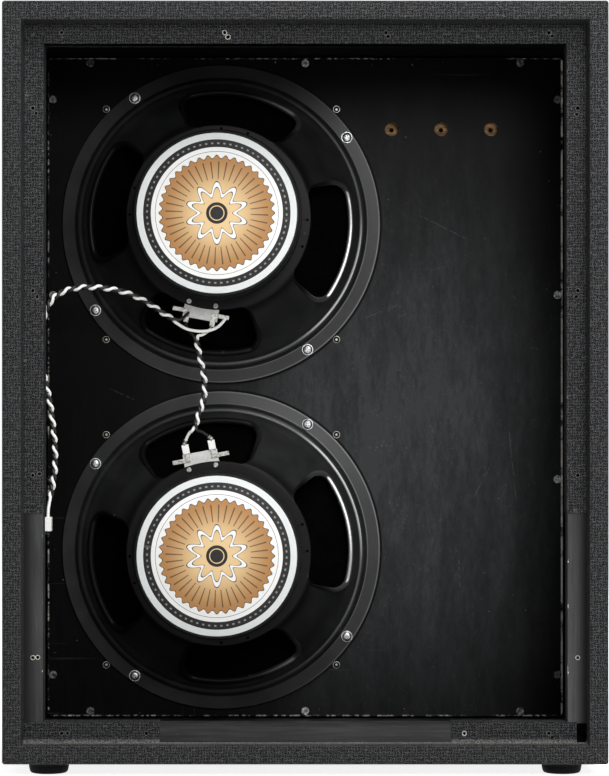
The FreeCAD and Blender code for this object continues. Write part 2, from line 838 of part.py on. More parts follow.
flange_rear = d.gasket_thickness + d.surround_sheet + d.basket_sheet
head_seat = baffle_rear - flange_rear - d.washer_thickness
head_middle = head_seat - d.mount_head_height / 2
mount_screws = []
washers = []
tee_nuts = []
tee_pockets = []
for index, (x, z) in enumerate(mount_spots):
    head = rod("mount_head_%d" % index, (x, head_seat, z), "-Y", d.mount_head_diameter, d.mount_head_height)
    domed = round_edges("mount_dome_%d" % index, head, d.mount_head_height / 2,
                        lambda edge: edge.Closed and edge.BoundBox.YMax < number(head_middle))
    shank = rod("mount_shank_%d" % index, (x, head_seat, z), "+Y",
                d.mount_screw_diameter, d.mount_screw_length)
    mount_screws.append(join("mount_screw_%d" % index, [domed, shank]))
    disc = rod("washer_disc_%d" % index, (x, head_seat, z), "+Y", d.washer_diameter, d.washer_thickness)
    hole = rod("washer_hole_%d" % index, (x, head_seat, z), "+Y", d.washer_hole_diameter, d.washer_thickness)
    washers.append(carve("washer_%d" % index, disc, [hole]))
    brim = rod("tee_brim_%d" % index, (x, baffle_front, z), "-Y",
               d.tee_flange_diameter, d.tee_flange_thickness)
    barrel = rod("tee_barrel_%d" % index, (x, baffle_front, z), "-Y",
                 d.tee_barrel_diameter, d.tee_barrel_length)
    bore = rod("tee_bore_%d" % index, (x, head_seat, z), "+Y", d.mount_screw_diameter,
               d.baffle_thickness + flange_rear + d.washer_thickness)
    blank = join("tee_blank_%d" % index, [brim, barrel])
    tee_nuts.append(carve("tee_nut_%d" % index, blank, [bore]))
    drill = rod("tee_drill_%d" % index, (x, baffle_rear, z), "+Y", d.tee_barrel_diameter, d.baffle_thickness)
    tee_pockets.append(join("tee_pocket_%d" % index, [brim, drill]))
keep(gather("speaker_screws", mount_screws))
keep(gather("speaker_washers", washers))
keep(gather("speaker_tee_nuts", tee_nuts))

# Grille bolts and their brass inserts

bolts = []
inserts = []
insert_holes = []
bolt_length = d.baffle_thickness + d.grille_thickness - d.grille_bolt_tip_gap
for index, (x, z) in enumerate(grille_spots):
    head = taper("bolt_head_%d" % index, (x, grille_front, z), "-Y",
                 d.grille_bolt_head_diameter, d.grille_bolt_diameter, d.grille_bolt_head_height)
    shank = rod("bolt_shank_%d" % index, (x, grille_front, z), "-Y", d.grille_bolt_diameter, bolt_length)
    bolts.append(join("bolt_%d" % index, [head, shank]))
    hole = rod("insert_hole_%d" % index, (x, baffle_rear, z), "+Y", d.insert_diameter, d.baffle_thickness)
    thread = rod("insert_thread_%d" % index, (x, baffle_rear, z), "+Y",
                 d.grille_bolt_diameter, d.baffle_thickness)
    insert_holes.append(hole)
    inserts.append(carve("insert_%d" % index, hole, [thread]))
keep(gather("grille_bolts", bolts))
keep(gather("grille_inserts", inserts))

# Baffle board


def board_body(name, width, height, thickness, openings):
    body = start_body(name)
    sketch = sketch_in(body, "XZ_Plane", name + "_outline")
    x = width / 2
    z = height / 2
    outline(sketch, [(-x, -z), (x, -z), (x, z), (-x, z)])
    pad(body, sketch, thickness, name + "_pad")
    for index, (spots, diameter, depth) in enumerate(openings):
        holes = sketch_in(body, "XZ_Plane", "%s_holes_%d" % (name, index))
        circles(holes, spots, diameter)
        pocket(body, holes, depth, "%s_pocket_%d" % (name, index))
    return body


speaker_spots = [(speaker_x, speaker_pitch / 2 * side) for side in (1, -1)]
badge_x = inner_half - d.badge_hole_side_inset
badge_z = inner_high - d.badge_hole_top_inset - middle
badge_spots = [(badge_x + d.badge_hole_pitch * step, badge_z) for step in (-1, 0, 1)]
baffle_blank = board_body(
    "baffle_blank", baffle_half * 2, baffle_tall * 2, d.baffle_thickness,
    [(speaker_spots, rim - d.cutout_margin * 2, None),
     (badge_spots, d.badge_hole_diameter, None),
     (badge_spots, d.badge_bore_diameter, d.badge_bore_depth)],
)
place(baffle_blank, (ZERO, baffle_rear, middle))
baffle_eased = round_edges(
    "baffle_eased", baffle_blank, d.baffle_corner_radius,
    lambda edge: edge.Curve.TypeId == "Part::GeomLine"
    and edge.BoundBox.YLength > edge.BoundBox.XLength + edge.BoundBox.ZLength
    and abs(edge.CenterOfMass.x) > number(inner_half - d.cleat_width))
keep(carve("baffle_board", baffle_eased, baffle_screws + insert_holes + tee_pockets))

# Grille board with its cloth

cloth_half = lip_half - skin - d.grille_clearance
cloth_low = lip_low + skin + d.grille_clearance
cloth_high = lip_high - skin - d.grille_clearance
board_half = cloth_half - d.cloth_thickness
grille_blank = board_body(
    "grille_blank", board_half * 2, cloth_high - cloth_low - d.cloth_thickness * 2, d.grille_thickness,
    [(speaker_spots, rim - d.grille_hole_margin * 2, None)],
)
place(grille_blank, (ZERO, baffle_front, middle))
keep(carve("grille_board", grille_blank, bolts))
cloth_block = box("cloth_block", (-cloth_half, cloth_half), (baffle_front, grille_front + d.cloth_thickness),
                  (cloth_low, cloth_high))
cloth_core = box("cloth_core", (-board_half, board_half), (baffle_front, grille_front),
                 (cloth_low + d.cloth_thickness, cloth_high - d.cloth_thickness))
keep(carve("grille_cloth", cloth_block, [cloth_core]))

# Jack socket with its nut

bushing_end = dish_floor - d.bushing_length
socket_body = box("socket_body", (dish_floor, dish_floor + d.jack_body_length),
                  centred(d.jack_body_width, jack_y), centred(d.jack_body_height, jack_z))
bushing = rod("socket_bushing", (bushing_end, jack_y, jack_z), "+X", d.bushing_diameter, d.bushing_length)
socket_bore = rod("socket_bore", (bushing_end, jack_y, jack_z), "+X", d.jack_bore_diameter, d.jack_bore_depth)
tag_start = dish_floor + d.jack_body_length
tag_x = (tag_start + d.jack_tag_reach - d.tag_sheet, tag_start + d.jack_tag_reach)
jack_tags = []
for index, side in enumerate((-1, 1)):
    y = centred(d.jack_tag_width, jack_y + d.jack_tag_pitch / 2 * side)
    foot = box("jack_tag_foot_%d" % index, (tag_start, tag_x[1]), y, (jack_z, jack_z + d.tag_sheet))
    blade = box("jack_tag_blade_%d" % index, tag_x, y, (jack_z, jack_z + d.jack_tag_rise))
    jack_tags += [foot, blade]
socket_solid = join("socket_solid", [socket_body, bushing] + jack_tags)
socket = carve("socket", socket_solid, [socket_bore])
nut_blank = add("Part::Prism", "jack_nut_blank")
nut_blank.Polygon = 6
bind(nut_blank, Circumradius=d.jack_nut_width / math.sqrt(3), Height=d.jack_nut_thickness)
nut_start = dish_floor - d.dish_sheet - d.jack_nut_thickness
place(nut_blank, (nut_start, jack_y, jack_z), ALONG["+X"])
jack_nut = carve("jack_nut", nut_blank, [bushing])
keep(gather("jack_socket", [socket, jack_nut]))

# Loudspeakers


def ring(name, inner, outer, start, thickness):
    disc = rod(name + "_disc", (ZERO, -start, ZERO), "-Y", outer, thickness)
    hole = rod(name + "_hole", (ZERO, -start, ZERO), "-Y", inner, thickness)
    return (disc, hole)


def mount_holes(name):
    holes = []
    for quarter in range(4):
        angle = math.radians(45 + 90 * quarter)
        reach = mount_circle / 2
        spot = (reach * math.sin(angle), ZERO, reach * math.cos(angle))
        holes.append(rod("%s_%d" % (name, quarter), spot, "-Y",
                         d.mount_hole_diameter, flange_rear + d.cut_overrun))
    return holes


def basket_windows(name):
    windows = []
    for quarter in range(4):
        label = "%s_%d" % (name, quarter)
        turn = Rotation(Vector(0, -1, 0), 90 * (quarter + 1) - number(d.window_span) / 2)
        outer = add("Part::Cylinder", label + "_outer")
        bind(outer, Radius=bowl_radius, Height=d.seat_height, Angle=d.window_span)
        outer.Placement = FreeCAD.Placement(Vector(), turn * ALONG["-Y"])
        inner = rod(label + "_inner", (ZERO, ZERO, ZERO), "-Y", d.window_inner_diameter, d.seat_height)
        sector = carve(label + "_sector", outer, [inner])
        tall = number(d.seat_height) / 2
        corner = min(number(d.window_corner), 0.45 * number(bowl_radius - d.window_inner_diameter / 2))
        windows.append(round_edges(label, sector, corner, lambda edge: edge.BoundBox.YLength > tall))
    return windows


def rivets(name):
    made = []
    for index, side in enumerate((-1, 1)):
        x = d.rivet_pitch / 2 * side
        board_front = d.landing_height - d.basket_sheet - d.board_thickness
        shank = rod("%s_shank_%d" % (name, index), (x, -board_front, d.rivet_reach), "-Y",
                    d.rivet_shank_diameter, d.board_thickness + d.basket_sheet)
        rear_head = rod("%s_head_%d" % (name, index), (x, -d.landing_height, d.rivet_reach), "-Y",
                        d.rivet_head_diameter, d.rivet_head_height)
        front_head = rod("%s_tail_%d" % (name, index), (x, -board_front, d.rivet_reach), "+Y",
                         d.rivet_head_diameter, d.rivet_head_height)
        made.append(join("%s_%d" % (name, index), [shank, rear_head, front_head]))
    return made


board_rear = d.landing_height - d.basket_sheet
tag_rear = board_rear + d.tag_sheet
cone_neck = d.former_diameter / 2 + d.cone_sheet
cone_slope = (d.cone_neck_front - d.cone_middle_height) / (d.cone_middle_radius - cone_neck)


def cone_rear_at(radius):
    return d.cone_middle_height + cone_slope * (d.cone_middle_radius - radius)


def cone_front_at(radius):
    return cone_rear_at(radius) - d.cone_sheet * math.hypot(1, number(cone_slope))


def tag_plate(name, side):
    x = d.tag_pitch / 2 * side
    y = (-tag_rear, -board_rear)
    blade = box(name + "_blade", centred(d.tag_width, x), y, (d.tab_inner_reach, d.blade_reach))
    ends = sorted((x, d.tab_side * side), key=number)
    tab = box(name + "_tab", ends, y, (d.tab_inner_reach, d.tab_outer_reach))
    return join(name, [blade, tab])


for speaker in speakers:
    name = speaker.name + "_"
    basket_path = [
        (rim_radius, flange_rear),
        (rim_radius - d.flange_width, flange_rear),
        (wall_radius, d.wall_height),
        (ridge_radius, d.ridge_height),
        (bowl_radius, d.bowl_height),
        (d.landing_radius, d.landing_height),
        (d.seat_radius, d.landing_height),
        (d.seat_radius, d.seat_height),
        (d.seat_hole_radius, d.seat_height),
    ]
    basket_bends = [d.basket_bend] * (len(basket_path) - 2)
    pressing = fixed_shape(name + "pressing", pressed_sheet(basket_path, d.basket_sheet, basket_bends))
    rivet_set = rivets(name + "rivet")
    basket_tools = basket_windows(name + "window") + mount_holes(name + "basket_hole") + rivet_set
    seat(carve(name + "basket", pressing, basket_tools), speaker)

    disc, hole = ring(name + "gasket", rim - d.gasket_width * 2, rim, ZERO, d.gasket_thickness)
    seat(carve(name + "gasket", disc, [hole] + mount_holes(name + "gasket_hole")), speaker)

    # Surround: glued on the cone lip, rolled, then clamped under the gasket
    clamp = d.gasket_thickness + d.surround_sheet
    turn_radius = (cone_lip + surround_clamp) / 2
    turn_height = (d.cone_edge_height + clamp) / 2
    surround_path = [
        (cone_lip - d.surround_glue_width, d.cone_edge_height),
        (cone_lip, d.cone_edge_height),
        (turn_radius, turn_height),
        (surround_clamp, clamp),
        (surround_outer, clamp),
    ]
    roll_size = number(d.surround_roll)
    sheet_shape = rolled_sheet(surround_path, d.surround_sheet, (0, roll_size, -roll_size, 0))
    surround_sheet = fixed_shape(name + "surround_sheet", sheet_shape)
    seat(carve(name + "surround", surround_sheet, mount_holes(name + "surround_hole")), speaker)

    cone_path = [
        (cone_lip, d.cone_edge_height + d.cone_sheet),
        (cone_edge, d.cone_edge_height + d.cone_sheet),
        (d.cone_middle_radius, d.cone_middle_height),
        (cone_neck, d.cone_neck_front),
        (cone_neck, d.cone_neck_rear),
    ]
    cone_bends = (d.cone_edge_bend, fitting_bend(d.cone_flare, cone_path[1:4]), d.cone_edge_bend)
    seat(fixed_shape(name + "cone", pressed_sheet(cone_path, d.cone_sheet, cone_bends)), speaker)

    # Dust cap: a slice of a thin sphere, standing on the cone
    cap_radius = d.dust_cap_diameter / 2
    ball_radius = (cap_radius * cap_radius + d.dust_cap_rise * d.dust_cap_rise) / (d.dust_cap_rise * 2)
    cap_base = cone_front_at(cap_radius) - d.dust_cap_seat
    ball_centre = (ZERO, -(cap_base + ball_radius - d.dust_cap_rise), ZERO)
    ball = add("Part::Sphere", name + "cap_ball")
    bind(ball, Radius=ball_radius)
    hollow = add("Part::Sphere", name + "cap_hollow")
    bind(hollow, Radius=ball_radius - d.cone_sheet)
    shell = carve(name + "cap_shell", place(ball, ball_centre), [place(hollow, ball_centre)])
    slice_rod = rod(name + "cap_slice", (ZERO, -cap_base, ZERO), "+Y", d.dust_cap_diameter, d.dust_cap_rise)
    cap = add("Part::MultiCommon", name + "dust_cap")
    cap.Shapes = [shell, slice_rod]
    seat(cap, speaker)

    # Voice coil: former and winding
    former_bore = d.former_diameter - d.former_wall * 2
    disc, hole = ring(name + "former", former_bore, d.former_diameter, d.former_front,
                      d.former_rear - d.former_front)
    former = carve(name + "former", disc, [hole])
    winding_start = d.seat_height + d.front_plate_thickness / 2 - d.winding_height / 2
    disc, hole = ring(name + "winding", d.former_diameter, d.former_diameter + d.winding_build * 2,
                      winding_start, d.winding_height)
    winding = carve(name + "winding", disc, [hole])
    seat(gather(name + "voice_coil", [former, winding]), speaker)

    # Spider: glued under the landing ring and on the former
    spider_rim = d.spider_outer_radius - d.spider_glue_width
    spider_neck = d.former_diameter / 2 + d.spider_glue_width / 2
    spider_path = [(d.spider_outer_radius, board_rear)]
    for step in range(SPIDER_ROLLS + 1):
        share = step / SPIDER_ROLLS
        spider_path.append((spider_rim - (spider_rim - spider_neck) * share,
                            board_rear - (board_rear - d.spider_inner_height) * share))
    spider_path.append((d.former_diameter / 2, d.spider_inner_height))
    waves = [number(d.spider_roll) * (1 if step % 2 else -1) for step in range(SPIDER_ROLLS)]
    seat(fixed_shape(name + "spider", rolled_sheet(spider_path, d.spider_sheet, [0] + waves + [0])), speaker)

    # Magnet assembly, from the basket rearwards
    magnet_front = d.seat_height + d.front_plate_thickness
    magnet_rear = magnet_front + d.magnet_thickness
    plate_rear = magnet_rear + d.back_plate_thickness
    disc, hole = ring(name + "front_plate", d.gap_diameter, d.front_plate_diameter, d.seat_height,
                      d.front_plate_thickness)
    seat(carve(name + "front_plate", disc, [hole]), speaker)
    disc, hole = ring(name + "magnet", d.magnet_hole_diameter, d.magnet_diameter,
                      magnet_front, d.magnet_thickness)
    seat(carve(name + "magnet", disc, [hole]), speaker)
    pole = d.pole_diameter / 2
    plate = d.back_plate_diameter / 2
    seat(spin(name + "yoke", [(ZERO, d.seat_height), (pole, d.seat_height), (pole, magnet_rear),
                              (plate, magnet_rear), (plate, plate_rear), (ZERO, plate_rear)]), speaker)
    label = rod(name + "label_disc", (ZERO, -plate_rear, ZERO), "-Y", d.label_diameter, d.label_thickness)
    seat(gather(name + "label", [label]), speaker)

    # Terminals: a fibre board riveted under the landing ring, with two tags
    blank = box(name + "board_blank", centred(d.board_width), (-board_rear, d.board_thickness - board_rear),
                (d.board_inner_reach, d.board_outer_reach))
    seat(carve(name + "terminal_board", blank, rivet_set), speaker)
    tags = [tag_plate("%stag_%d" % (name, index), side) for index, side in enumerate((-1, 1))]
    seat(gather(name + "terminal_tags", tags + rivet_set), speaker)

# Crimp sleeves on the lower terminals and on the jack tags

upper, lower = speakers
sleeves = []
for index, side in enumerate((-1, 1)):
    x = d.tag_pitch / 2 * side
    grip = box("sleeve_grip_%d" % index, centred(d.tag_width + d.sleeve_wall * 2, x),
               (-tag_rear - d.sleeve_wall, d.sleeve_wall - board_rear),
               (d.sleeve_start_reach, d.sleeve_end_reach))
    slot = box("sleeve_slot_%d" % index, centred(d.tag_width, x), (-tag_rear, -board_rear),
               (d.tab_inner_reach, d.blade_reach))
    sleeves.append(settle(carve("sleeve_%d" % index, grip, [slot]), lower))
sleeve_low = jack_z + d.jack_sleeve_lift
sleeve_top = sleeve_low + d.jack_sleeve_height
for index, side in enumerate((-1, 1)):
    y = jack_y + d.jack_tag_pitch / 2 * side
    grip = box("jack_sleeve_grip_%d" % index, centred(d.jack_sleeve_depth, tag_x[1] - d.tag_sheet / 2),
               centred(d.jack_sleeve_width, y), (sleeve_low, sleeve_top))
    sleeves.append(carve("jack_sleeve_%d" % index, grip, jack_tags))
keep(gather("crimp_sleeves", sleeves))

# Twisted leads, drawn as plain round cords, and the single tails at their ends

main_shares = (
    (0.084, -0.030, -0.005, 0.021),
    (0.178, -0.079, -0.011, 0.056),
    (0.272, -0.143, -0.017, 0.101),
    (0.364, -0.212, -0.023, 0.152),
    (0.447, -0.288, -0.027, 0.201),
    (0.538, -0.349, -0.035, 0.245),
    (0.632, -0.400, -0.044, 0.281),
    (0.723, -0.426, -0.050, 0.300),
    (0.807, -0.413, -0.045, 0.290),
    (0.880, -0.361, -0.033, 0.252),
    (0.938, -0.291, -0.023, 0.202),
    (0.980, -0.210, -0.016, 0.146),
    (0.998, -0.126, -0.004, 0.086),
    (0.995, -0.052, 0.001, 0.035),
)
link_shares = (
    (0.139, 0.029, 0.013, 0.0),
    (0.306, 0.067, 0.027, 0.001),
    (0.474, 0.101, 0.029, 0.002),
    (0.618, 0.104, 0.031, 0.002),
    (0.757, 0.068, 0.021, 0.001),
    (0.884, 0.024, 0.01, 0.0),
)
jack_top = Vector(number(tag_x[1] - d.tag_sheet / 2), number(jack_y), number(sleeve_top))
main_start = jack_top + Vector(number(d.lead_start_side), 0, number(d.lead_start_rise))
main_end = from_speaker(upper, d.lead_end_side, d.lead_end_height, d.lead_end_reach)
link_start = from_speaker(upper, ZERO, d.link_height, d.link_top_reach)
link_end = from_speaker(lower, ZERO, d.link_height, d.link_bottom_reach)
main_points = blend_points(main_start, main_end, main_shares)
link_points = blend_points(link_start, link_end, link_shares)
keep(fixed_shape("main_lead", wire_solid(main_points, d.pair_diameter)))
keep(fixed_shape("link_lead", wire_solid(link_points, d.pair_diameter)))

strand_offset = number(d.pair_diameter) / 4


def strand_ends(end, inner, reference, clearance):
    """Where the two wires start, clear of the end of a pair, and the way they point."""
    ahead = (end - inner).normalize()
    side = ahead.cross(reference).normalize()
    clear = end + ahead * number(clearance)
    return ahead, clear + side * strand_offset, clear - side * strand_offset


def eased_tail(start, leave, end, arrive):
    """A tail that leaves and arrives straight, with a third of its span for each end."""
    reach = (end - start).Length / 3
    return [start, start + leave * reach, end - arrive * reach, end]


def to_speaker(speaker, spot):
    """The beside, behind and outwards measures of a point, as a vector."""
    centre = Vector(number(speaker_x), number(baffle_rear), number(speaker.height))
    local = Rotation(Vector(0, 1, 0), -speaker.turn).multVec(spot - centre)
    return Vector(local.x, -local.y, local.z)


def stepped(speaker, start, finish, shares):
    """Points between two speaker places, each measure moved by its own share of the way."""
    way = finish - start
    spots = [start]
    for side, height, reach in shares:
        spots.append(start + Vector(way.x * side, way.y * height, way.z * reach))
    return [from_speaker(speaker, *spot) for spot in spots + [finish]]


across_shares = (
    (0.20, -0.03, -0.28),
    (0.40, -0.05, -0.30),
    (0.60, 0.08, -0.22),
    (0.79, 0.38, 0.04),
    (0.93, 0.74, 0.48),
)
near_shares = (
    (0.42, 0.16, 0.32),
    (0.78, 0.52, 0.68),
)
flex_shares = (
    (0.00, 0.35, 0.06),
    (0.30, 0.62, 0.32),
    (0.65, 0.76, 0.66),
)
tag_height = board_rear + d.tag_sheet / 2
wire_height = tag_rear + d.wire_diameter / 2 + d.wire_clearance
outwards = {s.name: Rotation(Vector(0, 1, 0), s.turn).multVec(Vector(0, 0, 1)) for s in speakers}

main_tails = []
ahead, first, second = strand_ends(main_points[0], main_points[1], Vector(1, 0, 0), d.wire_clearance)
for strand, side in ((first, -1), (second, 1)):
    socket_spot = jack_top + Vector(0, number(d.jack_tag_pitch) / 2 * side, 0)
    main_tails.append(wire_solid(eased_tail(socket_spot, Vector(0, 0, 1), strand, -ahead), d.wire_diameter))
ahead, first, second = strand_ends(main_points[-1], main_points[-2], Vector(0, 1, 0), d.tail_clearance)
across = (-d.tail_end_side, wire_height, d.tail_end_reach)
near = (d.tail_black_side, wire_height, d.tail_black_reach)
for strand, target, shares in ((second, across, across_shares), (first, near, near_shares)):
    start = to_speaker(upper, strand)
    finish = Vector(number(target[0]), number(target[1]), number(target[2]))
    main_tails.append(wire_solid(stepped(upper, start, finish, shares), d.wire_diameter))
keep(fixed_shape("main_lead_tails", Part.makeCompound(main_tails)))

link_tails = []
for points, speaker, start_reach in ((link_points, upper, d.blade_reach),
                                     (link_points[::-1], lower, d.sleeve_end_reach)):
    ahead, first, second = strand_ends(points[0], points[1], Vector(0, 1, 0), d.tail_clearance)
    for side in (-1, 1):
        tag_spot = from_speaker(speaker, d.tag_pitch / 2 * side, tag_height,
                                start_reach + d.wire_diameter / 2)
        strand = min((first, second), key=lambda spot: (spot - tag_spot).Length)
        bow = outwards[speaker.name] * number(d.wire_diameter)
        link_tails.append(wire_solid([tag_spot, (tag_spot + strand) * 0.5 + bow, strand], d.wire_diameter))
keep(fixed_shape("link_lead_tails", Part.makeCompound(link_tails)))

# Flexible leads from the terminal boards to the cones

flex_leads = []
board_front = board_rear - d.board_thickness
for speaker in speakers:
    for side in (-1, 1):
        start = Vector(number(d.tag_pitch) / 2 * side, number(board_front - d.wire_clearance),
                       number(d.flex_start_reach))
        finish = Vector(number(d.flex_end_side) * side, number(cone_rear_at(d.flex_end_reach) + d.flex_lift),
                        number(d.flex_end_reach))
        flex_leads.append(wire_solid(stepped(speaker, start, finish, flex_shares), d.flex_diameter))
keep(fixed_shape("flex_leads", Part.makeCompound(flex_leads)))
doc.recompute()

# Write the pieces

bad = [item.Label for item in doc.Objects if "Invalid" in item.State or "Error" in item.State]
if bad:
    raise SystemExit("objects with errors: " + ", ".join(bad))
os.makedirs("parts", exist_ok=True)
for label, item in pieces.items():
    shape = item.Shape
    if shape.isNull() or not shape.isValid():
        raise SystemExit("piece without a valid shape: " + label)
    shape.exportStep("parts/%s.step" % label)
    print("%-22s solids %2d volume %12.1f" % (label, len(shape.Solids), shape.Volume))
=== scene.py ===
# %% [markdown]
# # An upright speaker cabinet, seen from its open back
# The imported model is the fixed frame: each piece below is put where the solids say, in metres.
# The order is camera and light, the finishes, the box, the loudspeakers, the wiring and the front.

# %% Load the frame
import json
import math
import random

import bpy
from mathutils import Matrix, Vector


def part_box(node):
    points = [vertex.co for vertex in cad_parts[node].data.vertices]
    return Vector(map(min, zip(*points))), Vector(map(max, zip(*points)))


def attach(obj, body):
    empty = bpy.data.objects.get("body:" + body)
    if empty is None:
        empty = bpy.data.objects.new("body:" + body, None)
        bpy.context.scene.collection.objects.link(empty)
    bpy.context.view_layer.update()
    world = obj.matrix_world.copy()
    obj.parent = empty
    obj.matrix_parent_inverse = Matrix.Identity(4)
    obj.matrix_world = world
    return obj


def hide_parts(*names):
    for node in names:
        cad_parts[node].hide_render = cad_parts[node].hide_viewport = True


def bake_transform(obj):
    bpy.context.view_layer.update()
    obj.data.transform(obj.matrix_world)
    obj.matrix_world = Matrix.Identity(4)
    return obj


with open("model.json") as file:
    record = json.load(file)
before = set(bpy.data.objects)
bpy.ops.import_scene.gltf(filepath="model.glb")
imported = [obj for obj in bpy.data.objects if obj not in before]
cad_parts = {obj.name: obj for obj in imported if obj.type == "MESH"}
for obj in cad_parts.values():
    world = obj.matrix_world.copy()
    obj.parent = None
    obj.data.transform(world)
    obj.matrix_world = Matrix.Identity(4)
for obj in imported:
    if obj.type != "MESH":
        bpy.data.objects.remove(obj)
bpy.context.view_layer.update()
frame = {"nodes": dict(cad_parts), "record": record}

slot_of = {part["node"]: part["material_slot"] for part in frame["record"]["subparts"]}
print("nodes loaded:", len(frame["nodes"]))

# %% [markdown]
# Operators act on whatever is selected, so each helper starts by deselecting everything.
# `choose` stands for clicking faces or edges by hand: it selects those whose middle and
# direction pass a test.

# %% Helpers for selecting
def deselect():
    if bpy.context.object and bpy.context.object.mode != "OBJECT":
        bpy.ops.object.mode_set(mode="OBJECT")
    bpy.ops.object.select_all(action="DESELECT")


def pick(*objects):
    deselect()
    for item in objects:
        item.select_set(True)
    bpy.context.view_layer.objects.active = objects[-1]


def edit(item, kind="FACE"):
    pick(item)
    bpy.ops.object.mode_set(mode="EDIT")
    bpy.ops.mesh.select_mode(type=kind)
    bpy.ops.mesh.select_all(action="SELECT")


def choose(item, kind, test):
    bpy.ops.mesh.select_mode(type=kind)
    bpy.ops.mesh.select_all(action="DESELECT")
    bpy.ops.object.mode_set(mode="OBJECT")
    spots = [vertex.co for vertex in item.data.vertices]
    if kind == "FACE":
        for face in item.data.polygons:
            face.select = test(face.center, face.normal)
    elif kind == "EDGE":
        for line in item.data.edges:
            a, b = (spots[index] for index in line.vertices)
            line.select = test((a + b) / 2, (b - a).normalized())
    else:
        for vertex in item.data.vertices:
            vertex.select = test(vertex.co, vertex.normal)
    bpy.ops.object.mode_set(mode="EDIT")


# %% [markdown]
# A piece starts as a block, a drawn line or a copy of a solid, and modifiers finish it. Points
# closer than the weld gap become one, and an edge past the sharp angle is left sharp when the
# rest is shaded smooth.

# %% Helpers for shaping
WELD_GAP = 2e-6
SHARP_DEGREES = 35


def modify(item, kind, **settings):
    pick(item)
    modifier = item.modifiers.new(kind.lower(), kind)
    for key, value in settings.items():
        setattr(modifier, key, value)
    bpy.ops.object.modifier_apply(modifier=modifier.name)


def tidy_mesh(item, gap=WELD_GAP):
    edit(item, "VERT")
    bpy.ops.mesh.remove_doubles(threshold=gap)
    bpy.ops.mesh.normals_make_consistent(inside=False)
    deselect()


def block(low, high):
    """A cube primitive stretched between two corners."""
    deselect()
    low, high = Vector(low), Vector(high)
    bpy.ops.mesh.primitive_cube_add(size=1, location=(low + high) / 2)
    item = bpy.context.object
    item.scale = high - low
    bpy.ops.object.transform_apply(location=True, rotation=True, scale=True)
    return item


def twin(item, matrix=None):
    """A copy with its own mesh, moved by a matrix."""
    copy = bpy.data.objects.new(item.name + "_copy", item.data.copy())
    bpy.context.scene.collection.objects.link(copy)
    if matrix is not None:
        copy.data.transform(matrix)
    return copy


def joined(objects):
    pick(*objects)
    if len(objects) > 1:
        bpy.ops.object.join()
    return bpy.context.object


def cut(item, cutter):
    modify(item, "BOOLEAN", object=cutter, operation="DIFFERENCE", solver="EXACT")
    bpy.data.objects.remove(cutter)


def smooth(item, degrees=SHARP_DEGREES):
    pick(item)
    bpy.ops.object.shade_smooth_by_angle(angle=math.radians(degrees))


def unwrap(item):
    """Box mapping in metres: one unit of the map is one metre of surface."""
    edit(item)
    bpy.ops.uv.cube_project(cube_size=1.0, correct_aspect=False)
    deselect()


def softened(node, width, segments=2):
    """A copy of a solid with its sharp edges eased, as sanding or pressing leaves them."""
    item = bpy.data.objects.new(node + "_eased", frame["nodes"][node].data.copy())
    bpy.context.scene.collection.objects.link(item)
    edit(item, "VERT")
    bpy.ops.mesh.remove_doubles(threshold=WELD_GAP)
    bpy.ops.mesh.dissolve_limited(angle_limit=math.radians(0.5))
    deselect()
    modify(item, "BEVEL", width=width, segments=segments, limit_method="ANGLE",
           angle_limit=math.radians(SHARP_DEGREES))
    smooth(item)
    modify(item, "WEIGHTED_NORMAL", keep_sharp=True)
    return item


print("edges are sharp past", SHARP_DEGREES, "degrees")

# %% [markdown]
# A finished piece gets a name, a finish and the body that carries it, and the solids it stands
# for are hidden. A solid that is good as it is only gets its finish.

# %% Helpers for dressing
def dress(item, name, material, replaces=(), body="cabinet", slot=None):
    """Name a finished piece, give it its finish and hang it on the body that carries it."""
    item.name = name
    item.data.name = name
    if material is not None:
        item.data.materials.clear()
        item.data.materials.append(material)
    if body:
        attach(item, body)
    if replaces:
        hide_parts(*replaces)
        slot = slot or slot_of[replaces[0]]
    print("made", name, "with", len(item.data.polygons), "faces")
    return item


def paint(material, *nodes):
    """Give a solid that stays as it is its finish."""
    for node in nodes:
        mesh = frame["nodes"][node].data
        mesh.materials.clear()
        mesh.materials.append(material)


print("slots for", len(slot_of), "nodes")

# %% [markdown]
# The photograph looks squarely into the back from about two and a half metres, with a long
# lens, so the camera stands level behind the cabinet and the lens shift does the framing.
# One broad lamp stands beside the camera on its right, one hangs high above the back, and a
# third lights the front. A pale floor closes the set.

# %% Camera, lamps and floor
camera_data = bpy.data.cameras.new("camera")
camera_data.lens = 129.95
camera_data.sensor_width = 36
camera_data.shift_x = -0.0010
camera_data.shift_y = 0.0588
camera_data.clip_end = 50
camera = bpy.data.objects.new("camera", camera_data)
camera.location = (0, -2.636, 0.3065)
camera.rotation_euler = (math.radians(90), 0, 0)
bpy.context.scene.collection.objects.link(camera)
bpy.context.scene.camera = camera
bpy.context.scene.view_settings.view_transform = "Standard"


def softbox(name, spot, aim, size, power):
    lamp = bpy.data.lights.new(name, "AREA")
    lamp.shape = "DISK"
    lamp.size = size
    lamp.energy = power
    item = bpy.data.objects.new(name, lamp)
    item.location = spot
    item.rotation_euler = (Vector(aim) - Vector(spot)).to_track_quat("-Z", "Y").to_euler()
    bpy.context.scene.collection.objects.link(item)


softbox("main_lamp", (0.45, -2.45, 1.00), (0.02, 0, 0.36), 0.7, 34)
softbox("high_lamp", (0.40, -0.98, 1.74), (0.0, -0.08, 0.45), 0.9, 26)
softbox("front_lamp", (0.9, 2.4, 1.7), (0, 0, 0.35), 1.4, 40)

deselect()
bpy.ops.mesh.primitive_plane_add(size=14, location=(0, 0, 0))
floor = bpy.context.object
floor.name = "floor"
print("camera at", tuple(camera.location), "lens", camera_data.lens)

